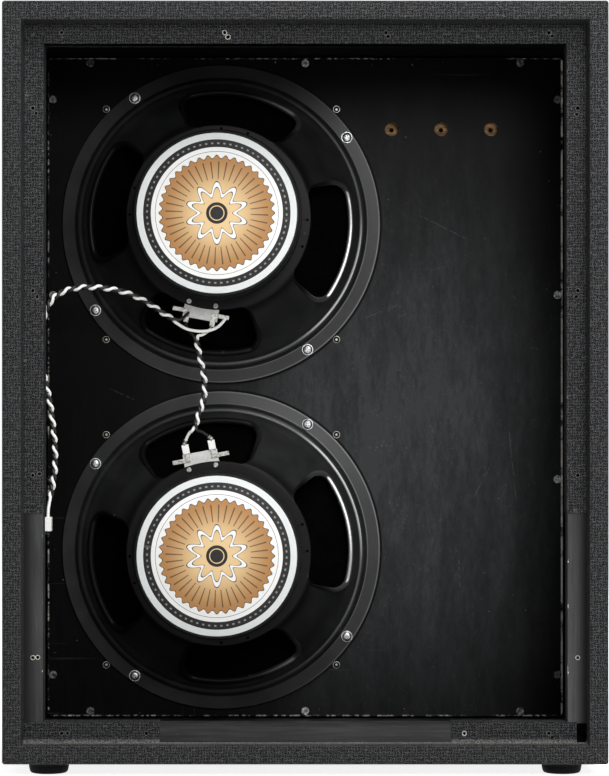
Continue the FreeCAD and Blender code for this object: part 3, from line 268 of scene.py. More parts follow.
# %% [markdown]
# Finishes are node trees. `put` adds a node and `wire` links or sets one of its inputs; `sums`
# is a Math node, `vectors` a Vector Math node and `mixed` a colour mix. The rest are short names
# for sums that come again and again, which keeps the recipes below short.

# %% Helpers for sums
def put(tree, kind, settings=None, **inputs):
    item = tree.nodes.new("ShaderNode" + kind)
    for key, value in (settings or {}).items():
        setattr(item, key, value)
    for key, value in inputs.items():
        wire(tree, item.inputs[key], value)
    return item


def wire(tree, socket, value):
    if isinstance(value, bpy.types.NodeSocket):
        tree.links.new(value, socket)
    elif isinstance(value, tuple) and len(value) == 3 and socket.type == "RGBA":
        socket.default_value = (*value, 1)
    else:
        socket.default_value = value


def sums(tree, operation, *values):
    item = put(tree, "Math", {"operation": operation})
    for socket, value in zip(item.inputs, values):
        wire(tree, socket, value)
    return item.outputs[0]


def times(tree, first, *others):
    for value in others:
        first = sums(tree, "MULTIPLY", first, value)
    return first


def lifted(tree, value, gain, base):
    """A value times a gain, plus a base."""
    return sums(tree, "MULTIPLY_ADD", value, gain, base)


def apart(tree, a, b):
    """How far two values lie from each other."""
    return sums(tree, "ABSOLUTE", sums(tree, "SUBTRACT", a, b))


def length_of(tree, a, b):
    """The length of a step that goes so far one way and so far square to it."""
    return sums(tree, "SQRT", sums(tree, "ADD", times(tree, a, a), times(tree, b, b)))


def vectors(tree, operation, a, b):
    """A Vector Math node; a dot product and a distance come out as one value."""
    item = put(tree, "VectorMath", {"operation": operation})
    wire(tree, item.inputs[0], a)
    wire(tree, item.inputs[1], b)
    return item.outputs["Value" if operation in ("DOT_PRODUCT", "DISTANCE") else "Vector"]


def axes(tree, vector):
    """The x, y and z of a place or a direction."""
    return tuple(put(tree, "SeparateXYZ", Vector=vector).outputs)


print("helpers for sums ready")

# %% [markdown]
# The next helpers deal with masks and colours. A ramp turns a value into a mask with a soft
# edge, and `laid` puts a tint over a colour where a mask says so.

# %% Helpers for colours
def mixed(tree, factor, a, b):
    item = put(tree, "Mix", {"data_type": "RGBA"})
    for index, value in ((0, factor), (6, a), (7, b)):
        wire(tree, item.inputs[index], value)
    return item.outputs[2]


def laid(tree, colour, mask, share, tint):
    """A tint over a colour, as strong as a share of the mask."""
    return mixed(tree, times(tree, mask, share), colour, tint)


def ramp(tree, value, low, high):
    """0 below low, 1 above high, smooth between; low may be the larger one."""
    item = put(tree, "MapRange", {"interpolation_type": "SMOOTHSTEP"}, Value=value)
    item.inputs["From Min"].default_value = low
    item.inputs["From Max"].default_value = high
    return item.outputs[0]


def noise(tree, vector, scale, detail=3.0, rough=0.5, stretch=None):
    if stretch:
        vector = put(tree, "Mapping", Vector=vector, Scale=stretch).outputs[0]
    return put(tree, "TexNoise", Vector=vector, Scale=scale, Detail=detail, Roughness=rough).outputs["Fac"]


def bitten(tree, spot, scale, low, high):
    """Ragged patches, as where paint has flaked."""
    return ramp(tree, noise(tree, spot, scale, 5.0, 0.65), low, high)


def new_finish(name, metallic=0.0, specular=0.5):
    material = bpy.data.materials.new(name)
    material.use_nodes = True
    tree = material.node_tree
    shader = tree.nodes["Principled BSDF"]
    shader.inputs["Metallic"].default_value = metallic
    shader.inputs["Specular IOR Level"].default_value = specular
    return material, tree, shader, put(tree, "TexCoord").outputs


def finish_off(tree, shader, colour, rough, height=None, strength=0.3, distance=0.0005):
    wire(tree, shader.inputs["Base Color"], colour)
    wire(tree, shader.inputs["Roughness"], rough)
    if height is not None:
        bump = put(tree, "Bump", Height=height, Strength=strength, Distance=distance)
        tree.links.new(bump.outputs[0], shader.inputs["Normal"])


print("colour helpers ready, materials so far:", len(bpy.data.materials))

# %% [markdown]
# The sky is white where it is seen, also in a gloss or through glass. As a light it is much
# weaker, so that the lamps still shape the object.

# %% White sky
def seen_rays(tree):
    """1 for rays that show the set itself: from the camera, in a gloss or through glass."""
    rays = put(tree, "LightPath").outputs
    seen = sums(tree, "MAXIMUM", rays["Is Camera Ray"], rays["Is Glossy Ray"])
    return sums(tree, "MAXIMUM", seen, rays["Is Transmission Ray"])


def white_world():
    world = bpy.data.worlds.new("studio")
    bpy.context.scene.world = world
    world.use_nodes = True
    tree = world.node_tree
    back = tree.nodes["Background"]
    back.inputs["Color"].default_value = (1, 1, 1, 1)
    wire(tree, back.inputs["Strength"], lifted(tree, seen_rays(tree), 0.82, 0.18))
    return world


print("sky:", white_world().name)

# %% [markdown]
# Three effects serve many finishes, so each is a node group with inputs of its own. The weave
# lays two sets of threads over and under each other and lets them wander a little.

# %% Weave
FLOAT = "NodeSocketFloat"
VECTOR = "NodeSocketVector"


def new_group(name, inputs, outputs):
    group = bpy.data.node_groups.new(name, "ShaderNodeTree")
    for label, kind in inputs:
        group.interface.new_socket(label, in_out="INPUT", socket_type=kind)
    for label, kind in outputs:
        group.interface.new_socket(label, in_out="OUTPUT", socket_type=kind)
    return group, group.nodes.new("NodeGroupInput").outputs, group.nodes.new("NodeGroupOutput").inputs


def use_group(tree, group, **inputs):
    item = put(tree, "Group", {"node_tree": group}, **inputs)
    return item.outputs


def weave_group():
    group, given, result = new_group(
        "weave", [("Vector", VECTOR), ("Pitch", FLOAT), ("Wander", FLOAT)],
        [("Height", FLOAT), ("Over", FLOAT), ("Patchy", FLOAT)])
    wobble = put(group, "TexNoise", Vector=given["Vector"], Scale=170.0, Detail=2.0)
    centred = vectors(group, "SUBTRACT", wobble.outputs["Color"], (0.5, 0.5, 0.5))
    wander = vectors(group, "MULTIPLY", centred, given["Wander"])
    parts = axes(group, vectors(group, "ADD", given["Vector"], wander))
    u, v = (times(group, sums(group, "DIVIDE", part, given["Pitch"]), math.pi) for part in parts[:2])
    across = sums(group, "ABSOLUTE", sums(group, "SINE", u))
    along = sums(group, "ABSOLUTE", sums(group, "SINE", v))
    turn = times(group, sums(group, "COSINE", u), sums(group, "COSINE", v))
    over = ramp(group, turn, -0.5, 0.5)
    top = times(group, across, lifted(group, over, 0.5, 0.5))
    under = times(group, along, lifted(group, over, -0.5, 1.0))
    wire(group, result["Height"], sums(group, "MAXIMUM", top, under))
    wire(group, result["Over"], over)
    wire(group, result["Patchy"], noise(group, given["Vector"], 320.0, 4.0, 0.65))
    return group


weave = weave_group()
print("made the group", weave.name)

# %% [markdown]
# Wear chips the convex edges, which the Geometry node finds by their pointiness, and leaves
# fine scratches in three directions, in patches.

# %% Wear
def wear_group():
    group, given, result = new_group(
        "wear", [("Vector", VECTOR), ("Edge", FLOAT), ("Amount", FLOAT)],
        [("Chips", FLOAT), ("Scratches", FLOAT)])
    edge = ramp(group, put(group, "NewGeometry").outputs["Pointiness"], 0.505, 0.56)
    bites = ramp(group, noise(group, given["Vector"], 90.0, 6.0, 0.7), 0.62, 0.7)
    scratches = 0.0
    for turn, stretch in ((0.5, (6.0, 6.0, 260.0)), (-0.9, (230.0, 6.0, 7.0)), (2.1, (9.0, 6.0, 300.0))):
        lean = (0.0, turn, turn * 0.3)
        drawn_out = put(group, "Mapping", Vector=given["Vector"], Rotation=lean, Scale=stretch)
        fine = put(group, "TexNoise", Vector=drawn_out.outputs[0], Scale=1.0, Detail=1.0).outputs["Fac"]
        scratches = sums(group, "MAXIMUM", scratches, ramp(group, fine, 0.735, 0.76))
    patches = ramp(group, noise(group, given["Vector"], 7.0, 2.0), 0.5, 0.62)
    wire(group, result["Chips"], times(group, edge, bites, given["Edge"]))
    wire(group, result["Scratches"], times(group, scratches, patches, given["Amount"]))
    return group


wear = wear_group()
print("made the group", wear.name)

# %% [markdown]
# Dust lies as a soft film on whatever faces up, and in single specks anywhere. Space is split
# into random cells, and a few of them, drawn by lot, have a speck in the middle.

# %% Dust
def dust_group():
    group, given, result = new_group(
        "dust", [("Vector", VECTOR), ("Amount", FLOAT)], [("Film", FLOAT), ("Specks", FLOAT)])
    normal = axes(group, put(group, "NewGeometry").outputs["Normal"])
    upward = ramp(group, normal[2], 0.2, 0.95)
    cloud = noise(group, given["Vector"], 22.0, 6.0, 0.65)
    film = times(group, upward, ramp(group, cloud, 0.3, 0.75))
    cells = put(group, "TexVoronoi", Vector=given["Vector"], Scale=95.0)
    lot = put(group, "TexWhiteNoise", {"noise_dimensions": "3D"}, Vector=cells.outputs["Color"])
    drawn = ramp(group, lot.outputs["Value"], 0.9, 0.93)
    specks = times(group, ramp(group, cells.outputs["Distance"], 0.09, 0.05), drawn)
    wire(group, result["Film"], times(group, film, given["Amount"]))
    wire(group, result["Specks"], times(group, specks, given["Amount"]))
    return group


dust = dust_group()
print("made the group", dust.name)

# %% [markdown]
# The covering is black leathercloth with a coarse woven emboss, two and a half millimetres from
# thread to thread. It is mapped through the piece's own map, so that the threads run along
# every face of the box. Its colour is painted paler on the raised threads and darker in the
# hollows, as painted light and shade of the emboss, over a patchy tone.

# %% Covering
HALF_WIDTH = 0.270
FOOT_HEIGHT = 0.012


def recess_dust(tree, spot):
    """Dust and lint along the foot of the rear recess, on the lining and the strips above it."""
    x, y, z = axes(tree, spot)
    low = ramp(tree, z, 0.0335, 0.0285)
    above = ramp(tree, z, 0.0272, 0.0284)
    inward = ramp(tree, y, -0.1400, -0.1215)
    inside = ramp(tree, sums(tree, "ABSOLUTE", x), 0.2545, 0.2535)
    lint = ramp(tree, noise(tree, spot, 600.0, 5.0, 0.75), 0.34, 0.66)
    return times(tree, low, above, inward, inside, lint)


def corner_seams(tree, spot):
    """A pale line where the cloth is mitred across the lower corners of the rear rim."""
    x, y, z = axes(tree, spot)
    out = sums(tree, "SUBTRACT", HALF_WIDTH, sums(tree, "ABSOLUTE", x))
    up = sums(tree, "SUBTRACT", z, FOOT_HEIGHT)
    line = ramp(tree, apart(tree, out, up), 0.0007, 0.0002)
    low = ramp(tree, up, 0.0135, 0.0110)
    broken = ramp(tree, noise(tree, spot, 260.0, 2.0), 0.35, 0.6)
    rear = ramp(tree, y, -0.1435, -0.1445)
    return times(tree, line, low, broken, rear)


def leathercloth():
    material, tree, shader, coords = new_finish("leathercloth", specular=0.12)
    spot = coords["Object"]
    woven = use_group(tree, weave, Vector=coords["UV"], Pitch=0.0025, Wander=0.0034)
    worn = use_group(tree, wear, Vector=spot, Edge=0.5, Amount=0.5)
    dusty = use_group(tree, dust, Vector=spot, Amount=0.45)
    pebble = noise(tree, coords["UV"], 800.0, 2.0)
    relief = sums(tree, "ADD", woven["Height"], times(tree, pebble, 0.5))
    # Painted light and shade: the relief makes the raised threads paler and the hollows darker.
    tone = lifted(tree, woven["Patchy"], 0.7, times(tree, relief, 0.5))
    colour = mixed(tree, ramp(tree, tone, 0.70, 1.04), (0.0012, 0.0013, 0.0014), (0.062, 0.0635, 0.066))
    film = sums(tree, "MAXIMUM", dusty["Film"], times(tree, dusty["Specks"], 0.6))
    colour = laid(tree, colour, film, 0.17, (0.30, 0.29, 0.27))
    colour = laid(tree, colour, recess_dust(tree, spot), 0.9, (0.27, 0.265, 0.25))
    colour = laid(tree, colour, worn["Chips"], 0.6, (0.24, 0.23, 0.22))
    colour = laid(tree, colour, corner_seams(tree, spot), 0.6, (0.11, 0.11, 0.11))
    finish_off(tree, shader, colour, lifted(tree, woven["Patchy"], 0.25, 0.52), relief, 0.7, 0.0007)
    return material


leathercloth_finish = leathercloth()
print("made the finish", leathercloth_finish.name)

# %% [markdown]
# The cloth of the grille is woven from dark yarn, with a paler thread every so often in both
# directions that makes a light check. Slubs, where the yarn is thicker, darken it in streaks.

# %% Grille cloth weave
CHECK = 0.0144


def grille_weave():
    material, tree, shader, coords = new_finish("grille_weave", specular=0.3)
    woven = use_group(tree, weave, Vector=coords["UV"], Pitch=0.0024, Wander=0.0004)
    slub = noise(tree, coords["UV"], 60.0, 4.0, 0.6, (1.0, 14.0, 1.0))
    colour = mixed(tree, woven["Over"], (0.010, 0.010, 0.011), (0.16, 0.155, 0.145))
    colour = mixed(tree, ramp(tree, slub, 0.42, 0.75), colour, (0.02, 0.02, 0.02))
    u, v, _ = axes(tree, coords["UV"])
    for way, share in ((u, woven["Over"]), (v, sums(tree, "SUBTRACT", 1.0, woven["Over"]))):
        swing = sums(tree, "COSINE", times(tree, way, math.tau / CHECK))
        thread = times(tree, ramp(tree, swing, 0.80, 0.90), share)
        colour = laid(tree, colour, thread, 0.5, (0.40, 0.39, 0.36))
    shade = mixed(tree, ramp(tree, woven["Height"], 0.2, 0.8), (0.003, 0.003, 0.003), colour)
    shader.inputs["Sheen Weight"].default_value = 0.2
    finish_off(tree, shader, shade, lifted(tree, slub, 0.2, 0.65), woven["Height"], 0.8, 0.0008)
    return material


grille_finish = grille_weave()
print("made the finish", grille_finish.name)

# %% [markdown]
# Some marks belong to a place: round a hole, along the edge of a board or round a loudspeaker.
# The masks for them measure how far a point lies from there, with the cabinet's own sizes.

# %% Masks by place
MIDDLE_HEIGHT = 0.352
SPEAKER_X = -0.082
HALF_SPACING = 0.159


def near_spot(tree, parts, x, z, radius):
    """1 inside a circle in the plane of the back, 0 outside."""
    off = length_of(tree, sums(tree, "SUBTRACT", parts[0], x), sums(tree, "SUBTRACT", parts[2], z))
    return ramp(tree, off, radius * 1.02, radius * 0.97)


def edge_distance(tree, parts, half_width, half_height):
    """How far outside a frame round the middle of the cabinet a point lies, in metres."""
    across = sums(tree, "SUBTRACT", sums(tree, "ABSOLUTE", parts[0]), half_width)
    upright = sums(tree, "SUBTRACT", apart(tree, parts[2], MIDDLE_HEIGHT), half_height)
    return sums(tree, "MAXIMUM", across, upright)


def from_speaker(tree, parts):
    """How far a point lies to the right of the nearer loudspeaker's axis, and how far beyond it
    as seen from the middle of the cabinet."""
    across = sums(tree, "SUBTRACT", parts[0], SPEAKER_X)
    return across, sums(tree, "SUBTRACT", apart(tree, parts[2], MIDDLE_HEIGHT), HALF_SPACING)


def speaker_polar(tree, parts):
    """Radius from the axis of the nearer loudspeaker, and about the cosine of the angle to a ray
    that points right and a little towards the middle of the cabinet."""
    across, upright = from_speaker(tree, parts)
    radius = length_of(tree, across, upright)
    towards = lifted(tree, upright, -0.44, times(tree, across, 0.90))
    return radius, sums(tree, "DIVIDE", towards, radius)


def ring(tree, radius, middle, wide):
    """1 along a circle of a certain radius, 0 beside it."""
    return ramp(tree, apart(tree, radius, middle), wide, wide * 0.3)


print("loudspeaker axes at heights", MIDDLE_HEIGHT + HALF_SPACING, "and", MIDDLE_HEIGHT - HALF_SPACING)

# %% [markdown]
# A few single scratches cross the sprayed paint. One group draws any of them: it measures the
# distance to a straight stroke, and fine noise makes the stroke waver and break.

# %% Scratches
def scratch_group():
    group, given, result = new_group(
        "scratch", [("Vector", VECTOR), ("Start", VECTOR), ("Run", VECTOR)], [("Mask", FLOAT)])
    flat = vectors(group, "MULTIPLY", given["Vector"], (1, 0, 1))
    away = vectors(group, "SUBTRACT", flat, given["Start"])
    along, whole = (vectors(group, "DOT_PRODUCT", step, given["Run"]) for step in (away, given["Run"]))
    share = sums(group, "DIVIDE", along, whole)
    share = sums(group, "MINIMUM", sums(group, "MAXIMUM", share, 0.0), 1.0)
    gap = vectors(group, "DISTANCE", away, vectors(group, "MULTIPLY", given["Run"], share))
    fine = noise(group, given["Vector"], 120.0, 3.0)
    shaky = sums(group, "ADD", gap, lifted(group, fine, 0.004, -0.002))
    line = ramp(group, sums(group, "ABSOLUTE", shaky), 0.0009, 0.0002)
    wire(group, result["Mask"], times(group, line, ramp(group, fine, 0.4, 0.6)))
    return group


scratch = scratch_group()
SCRATCHES = (((0.111, 0, 0.520), (0.046, 0, -0.023)), ((0.199, 0, 0.310), (0.007, 0, -0.068)),
             ((0.150, 0, 0.183), (0.001, 0, -0.025)), ((0.060, 0, 0.420), (0.030, 0, 0.012)),
             ((-0.190, 0, 0.350), (0.022, 0, -0.010)), ((0.165, 0, 0.245), (0.016, 0, 0.030)))
print("scratches:", len(SCRATCHES))

# %% [markdown]
# The baffle is chipped along its edges, most on the right. A pale patch right of the middle is
# painted light, and a dark ring beside each flange is a painted shadow. Its three counterbored
# holes were drilled after painting, so their walls are bare wood: a mask measures the distance
# from each hole's middle.

# %% Marks on the baffle
BAFFLE_REAR = 0.101
DRILLED_X = (0.0844, 0.133, 0.1816)
DRILLED_Z = 0.604


def bare_wood(tree, spot):
    lines = noise(tree, spot, 60.0, 5.0, 0.6, (1.0, 1.0, 6.0))
    return mixed(tree, ramp(tree, lines, 0.3, 0.7), (0.085, 0.055, 0.024), (0.34, 0.20, 0.095))


def painted_light_patch(tree, spot, parts):
    """Painted light: a pale patch right of the middle, broken up by streaks and fibres."""
    dx = times(tree, sums(tree, "SUBTRACT", parts[0], 0.085), 4.0)
    dz = times(tree, sums(tree, "SUBTRACT", parts[2], 0.305), 2.7)
    patch = ramp(tree, length_of(tree, dx, dz), 1.1, 0.0)
    streaks = ramp(tree, noise(tree, spot, 14.0, 5.0, 0.6, (4.0, 1.0, 1.0)), 0.3, 0.7)
    fibres = ramp(tree, noise(tree, spot, 70.0, 7.0, 0.75, (3.0, 1.0, 1.0)), 0.32, 0.68)
    return times(tree, patch, lifted(tree, streaks, 0.50, 0.70), lifted(tree, fibres, 0.42, 0.79))


def baffle_marks(tree, spot, parts, colour):
    """Chipped edges, painted light in the middle, a painted shadow beside the flanges, scratches and the bare
    walls of the holes.
    """
    off = edge_distance(tree, parts, 0.2515, 0.3215)
    flecks = times(tree, ramp(tree, off, -0.016, -0.003), bitten(tree, spot, 330.0, 0.70, 0.73))
    chips = times(tree, bitten(tree, spot, 190.0, 0.46, 0.60), bitten(tree, spot, 17.0, 0.40, 0.56))
    chips = times(tree, ramp(tree, off, -0.0018, -0.0006), chips)
    colour = laid(tree, colour, sums(tree, "MAXIMUM", chips, flecks), 0.85, (0.36, 0.35, 0.32))
    right_edge = ramp(tree, parts[0], 0.2494, 0.2502)
    right_wear = times(tree, right_edge, bitten(tree, spot, 85.0, 0.36, 0.56))
    colour = mixed(tree, right_wear, colour, (0.66, 0.65, 0.62))
    # Painted light: a pale patch right of the middle, and motes that show only inside it.
    painted_light = painted_light_patch(tree, spot, parts)
    colour = mixed(tree, painted_light, colour, (0.036, 0.0375, 0.039))
    motes_in_painted_light = times(tree, bitten(tree, spot, 420.0, 0.58, 0.68), bitten(tree, spot, 60.0, 0.45, 0.62))
    colour = laid(tree, colour, times(tree, motes_in_painted_light, painted_light), 0.55, (0.10, 0.102, 0.105))
    radius, towards = speaker_polar(tree, parts)
    # Painted shadow: a dark ring just outside each flange, on the side that faces right and towards the
    # middle.
    painted_flange_shadow = times(tree, ring(tree, radius, 0.1560, 0.0016), ramp(tree, towards, -0.2, 0.7))
    colour = laid(tree, colour, painted_flange_shadow, 0.85, (0.0008, 0.0008, 0.0008))
    for start, run in SCRATCHES:
        mask = use_group(tree, scratch, Vector=spot, Start=start, Run=run)["Mask"]
        colour = laid(tree, colour, mask, 0.4, (0.12, 0.12, 0.115))
    holes = 0.0
    for x in DRILLED_X:
        holes = sums(tree, "MAXIMUM", holes, near_spot(tree, parts, x, DRILLED_Z, 0.0069))
    sunk = ramp(tree, parts[1], BAFFLE_REAR + 0.0002, BAFFLE_REAR + 0.0012)
    return mixed(tree, times(tree, holes, sunk), colour, bare_wood(tree, spot))


print("drilled holes:", len(DRILLED_X))

# %% [markdown]
# The wood inside is sprayed black, and the grain telegraphs through as fine lines. The baffle
# and the cleats, which carry the back panel, add marks of their own to the same paint.

# %% Painted wood
def cleat_marks(tree, spot, parts, colour):
    """Painted shade on the upright cleats, darker towards the covering, with white chips along their inner
    edge; a streaky darker tone on the level ones, darkest along their inner edge.
    """
    off = edge_distance(tree, parts, 0.236, 0.306)
    upright = ramp(tree, sums(tree, "ABSOLUTE", parts[0]), 0.200, 0.210)
    streaks = ramp(tree, noise(tree, spot, 34.0, 6.0, 0.7, (0.5, 6.0, 11.0)), 0.30, 0.70)
    # The level cleats get a streaky darker tone, darkest along their inner edge.
    level_tone = lifted(tree, streaks, 0.34, 0.34)
    level_tone = lifted(tree, ramp(tree, off, 0.0050, 0.0005), 0.22, level_tone)
    # Painted shade: the upright cleats, and the ends of the level ones, darken towards their outer edge
    # against the covering.
    painted_recess_shade = sums(tree, "SUBTRACT", ramp(tree, off, 0.003, 0.0165), level_tone)
    tone_and_painted_shade = lifted(tree, upright, painted_recess_shade, level_tone)
    colour = mixed(tree, tone_and_painted_shade, colour, (0.003, 0.003, 0.003))
    edge = times(tree, ramp(tree, off, 0.0012, 0.0004), ramp(tree, parts[1], -0.1145, -0.1160))
    bites = times(tree, upright, bitten(tree, spot, 75.0, 0.60, 0.64))
    return mixed(tree, times(tree, edge, bites), colour, (0.70, 0.68, 0.62))


def black_paint(name, base, pale, stretch, scratches, film, rough, specular, marks=None):
    material, tree, shader, coords = new_finish(name, specular=specular)
    spot = coords["Object"]
    grain = noise(tree, spot, 30.0, 7.0, 0.62, stretch)
    cloud = noise(tree, spot, 5.0, 4.0, 0.6)
    worn = use_group(tree, wear, Vector=spot, Edge=0.0, Amount=scratches)
    dusty = use_group(tree, dust, Vector=spot, Amount=film)
    tone = lifted(tree, cloud, 0.6, times(tree, grain, 0.5))
    colour = mixed(tree, ramp(tree, tone, 0.35, 0.8), base, pale)
    dots = sums(tree, "MAXIMUM", times(tree, worn["Scratches"], 0.12), times(tree, dusty["Specks"], 0.4))
    colour = mixed(tree, dots, colour, (0.20, 0.19, 0.17))
    colour = laid(tree, colour, dusty["Film"], 0.45, (0.26, 0.25, 0.22))
    if marks:
        colour = marks(tree, spot, axes(tree, spot), colour)
    sheen = lifted(tree, cloud, 0.2, lifted(tree, grain, 0.1, rough))
    finish_off(tree, shader, colour, sheen, grain, 0.12, 0.0004)
    return material


inner_paint = black_paint("sprayed_panel", (0.0016, 0.0016, 0.0017), (0.0055, 0.0055, 0.0058),
                          (1.0, 9.0, 1.0), 0.5, 0.25, 0.45, 0.05)
baffle_paint = black_paint("sprayed_baffle", (0.0006, 0.0006, 0.0007), (0.0028, 0.0028, 0.0030),
                           (7.0, 1.0, 1.0), 0.6, 1.0, 0.30, 0.03, baffle_marks)
cleat_paints = {lie: black_paint("painted_cleat_" + lie, (0.022, 0.0225, 0.023), (0.072, 0.073, 0.075),
                                 stretch, 0.8, 1.0, 0.36, 0.14, cleat_marks)
                for lie, stretch in (("level", (0.6, 6.0, 11.0)), ("upright", (11.0, 6.0, 0.6)))}
print("painted wood ready")

# %% [markdown]
# Metals: bright zinc and worn black on the screws, dull tin on the terminals, copper in the
# coils. Each one changes its roughness in clouds and fine marks, because an even roughness
# looks like plastic. The enamelled plates and the ferrite of the magnets use the same recipe.

# %% Metals
def metal(name, base, stain, rough, metallic, scale, stretch=None, bump=0.1, edge=0.0, specular=0.5):
    material, tree, shader, coords = new_finish(name, metallic, specular)
    spot = coords["Object"]
    cloud = noise(tree, spot, scale, 5.0, 0.6, stretch)
    fine = noise(tree, spot, scale * 9, 2.0, 0.5, stretch)
    worn = use_group(tree, wear, Vector=spot, Edge=edge, Amount=edge)
    colour = mixed(tree, ramp(tree, cloud, 0.38, 0.68), base, stain)
    colour = laid(tree, colour, worn["Chips"], 0.7, (0.30, 0.29, 0.28))
    uneven = lifted(tree, cloud, 0.22, lifted(tree, fine, 0.12, rough))
    finish_off(tree, shader, colour, uneven, fine, bump, 0.0003)
    return material


plate_enamel = metal("plate_enamel", (0.005, 0.005, 0.0053), (0.010, 0.010, 0.010), 0.35, 0.0, 60.0,
                     edge=0.2, specular=0.1)
ferrite_finish = metal("ferrite", (0.006, 0.006, 0.0063), (0.012, 0.012, 0.0123), 0.55, 0.0, 90.0,
                       bump=0.5, specular=0.08)
zinc_finish = metal("zinc_plate", (0.40, 0.40, 0.41), (0.20, 0.20, 0.21), 0.20, 1.0, 300.0)
dark_screw_finish = metal("black_screw", (0.025, 0.025, 0.025), (0.16, 0.16, 0.16), 0.26, 0.6, 420.0,
                          edge=0.9, specular=0.2)
rubbed_screw_finish = metal("rubbed_screw", (0.09, 0.09, 0.09), (0.42, 0.42, 0.43), 0.26, 0.8, 420.0,
                            edge=0.9)
tin_finish = metal("tinned_tag", (0.36, 0.355, 0.335), (0.13, 0.125, 0.115), 0.34, 1.0, 420.0, bump=0.4)
dish_enamel = metal("dish_enamel", (0.010, 0.010, 0.0105), (0.018, 0.018, 0.019), 0.42, 0.0, 400.0,
                    bump=0.6, edge=0.4, specular=0.25)
copper_finish = metal("coil_wire", (0.50, 0.20, 0.08), (0.30, 0.11, 0.05), 0.3, 1.0, 300.0, (1.0, 20.0, 1.0))
print("materials:", len(bpy.data.materials))

# %% [markdown]
# The pressed baskets are enamelled black, dull round the magnet and satin further out; round
# the magnet the colour is also painted darker as shade. Along the crests a painted highlight
# shows as pale bare steel, strongest on the side that faces right and towards the middle, and
# the beads on the right-hand side of each basket carry it where they face the back. The other
# beads are painted dark as shade.

# %% Enamel on the pressings
# Each crest: its radius, half width, and the strength of its painted highlight along the right-hand side and
# at its brightest spot.
CRESTS = ((0.1541, 0.0009, 0.10, 0.05), (0.1427, 0.0009, 0.10, 0.06), (0.1362, 0.0015, 0.11, 0.52))


def pressed_enamel(name, base, pale, gloss, rough, bead_highlight=False):
    """Enamel with a painted highlight of pale bare steel along the crests, or along the crown of a bead right
    of the axis; painted shade darkens it round the magnet and on the other beads.
    """
    material, tree, shader, coords = new_finish(name, specular=0.04)
    spot = coords["Object"]
    parts = axes(tree, spot)
    radius, towards = speaker_polar(tree, parts)
    # Masks for the painted highlight: a broad one on the side that faces right and towards the middle, and a
    # brighter spot within it.
    side = ramp(tree, towards, -0.3, 0.85)
    highlight_spot = ramp(tree, towards, 0.84, 1.0)
    cloud = noise(tree, spot, 35.0, 5.0, 0.6)
    fine = noise(tree, spot, 320.0, 2.0)
    worn = use_group(tree, wear, Vector=spot, Edge=0.25, Amount=0.25)
    if bead_highlight:
        # On the beads only those right of the axis and away from the magnet are left out of the painted
        # shade.
        right = ramp(tree, from_speaker(tree, parts)[0], 0.02, 0.09)
        outside_painted_shade = times(tree, right, ramp(tree, radius, 0.102, 0.121))
        normal = axes(tree, put(tree, "NewGeometry").outputs["Normal"])
        lines = [(times(tree, outside_painted_shade, ramp(tree, normal[1], -0.80, -0.98)), 0.38, 0.50)]
    else:
        outside_painted_shade = ramp(tree, radius, 0.0885, 0.0985)
        lines = [(ring(tree, radius, crest, wide), steady, most) for crest, wide, steady, most in CRESTS]
    colour = mixed(tree, ramp(tree, cloud, 0.38, 0.68), base, pale)
    # Painted shade: dark and dull round the magnet, and on the beads away from the right-hand side.
    colour = mixed(tree, outside_painted_shade, (0.005, 0.005, 0.0053), colour)
    steel_and_highlight = 0.0
    for line, steady, most in lines:
        level = lifted(tree, highlight_spot, most, times(tree, side, steady))
        steel_and_highlight = sums(tree, "MAXIMUM", steel_and_highlight, times(tree, line, level))
    # Painted highlight: the crests turn pale and metallic, like bare steel.
    colour = mixed(tree, steel_and_highlight, colour, (0.66, 0.66, 0.67))
    colour = laid(tree, colour, worn["Chips"], 0.7, (0.30, 0.29, 0.28))
    wire(tree, shader.inputs["Metallic"], steel_and_highlight)
    wire(tree, shader.inputs["Coat Weight"], lifted(tree, outside_painted_shade, gloss, 0.04))
    shader.inputs["Coat Roughness"].default_value = rough
    finish_off(tree, shader, colour, lifted(tree, cloud, 0.2, 0.3), fine, 0.06, 0.0003)
    return material


basket_enamel = pressed_enamel("basket_enamel", (0.012, 0.0123, 0.0126), (0.018, 0.0183, 0.0187), 0.30, 0.40)
bead_enamel = pressed_enamel("bead_enamel", (0.030, 0.030, 0.031), (0.045, 0.045, 0.046), 0.94, 0.14,
                             bead_highlight=True)
print("made the finishes", basket_enamel.name, "and", bead_enamel.name)

# %% [markdown]
# Four threaded inserts round each loudspeaker hold the bolts of the grille. From behind each
# one is a worn brass rim round a hole painted near black as its shade, with the bright end of a
# bolt in the middle, so the finish goes by the distance from the nearest insert's axis.

# %% Brass inserts
INSERT_REACH = 0.1125


def insert_brass():
    material, tree, shader, coords = new_finish("insert_brass", specular=0.04)
    spot = coords["Object"]
    sides = [sums(tree, "SUBTRACT", sums(tree, "ABSOLUTE", way), INSERT_REACH)
             for way in from_speaker(tree, axes(tree, spot))]
    off = length_of(tree, *sides)
    rim = ramp(tree, off, 0.0028, 0.0032)
    end = ramp(tree, off, 0.0015, 0.0008)
    tarnish = ramp(tree, noise(tree, spot, 130.0, 5.0, 0.6), 0.38, 0.68)
    brass = mixed(tree, tarnish, (0.42, 0.40, 0.35), (0.16, 0.145, 0.12))
    # Painted shade: inside the brass rim the hole and the bolt in it are near black.
    colour = mixed(tree, rim, (0.003, 0.003, 0.003), brass)
    colour = mixed(tree, end, colour, (0.24, 0.24, 0.23))
    wire(tree, shader.inputs["Metallic"], sums(tree, "MAXIMUM", rim, end))
    finish_off(tree, shader, colour, lifted(tree, tarnish, 0.2, 0.28))
    return material


insert_finish = insert_brass()
print("made the finish", insert_finish.name)

# %% [markdown]
# Soft and moulded stuff: pressed paper for the cones, doped cloth for the surrounds, brown
# resin cloth for the spiders, grey fibre for the terminal boards, nylon and PVC on the wires
# and rubber for the feet. One recipe with different values covers them.

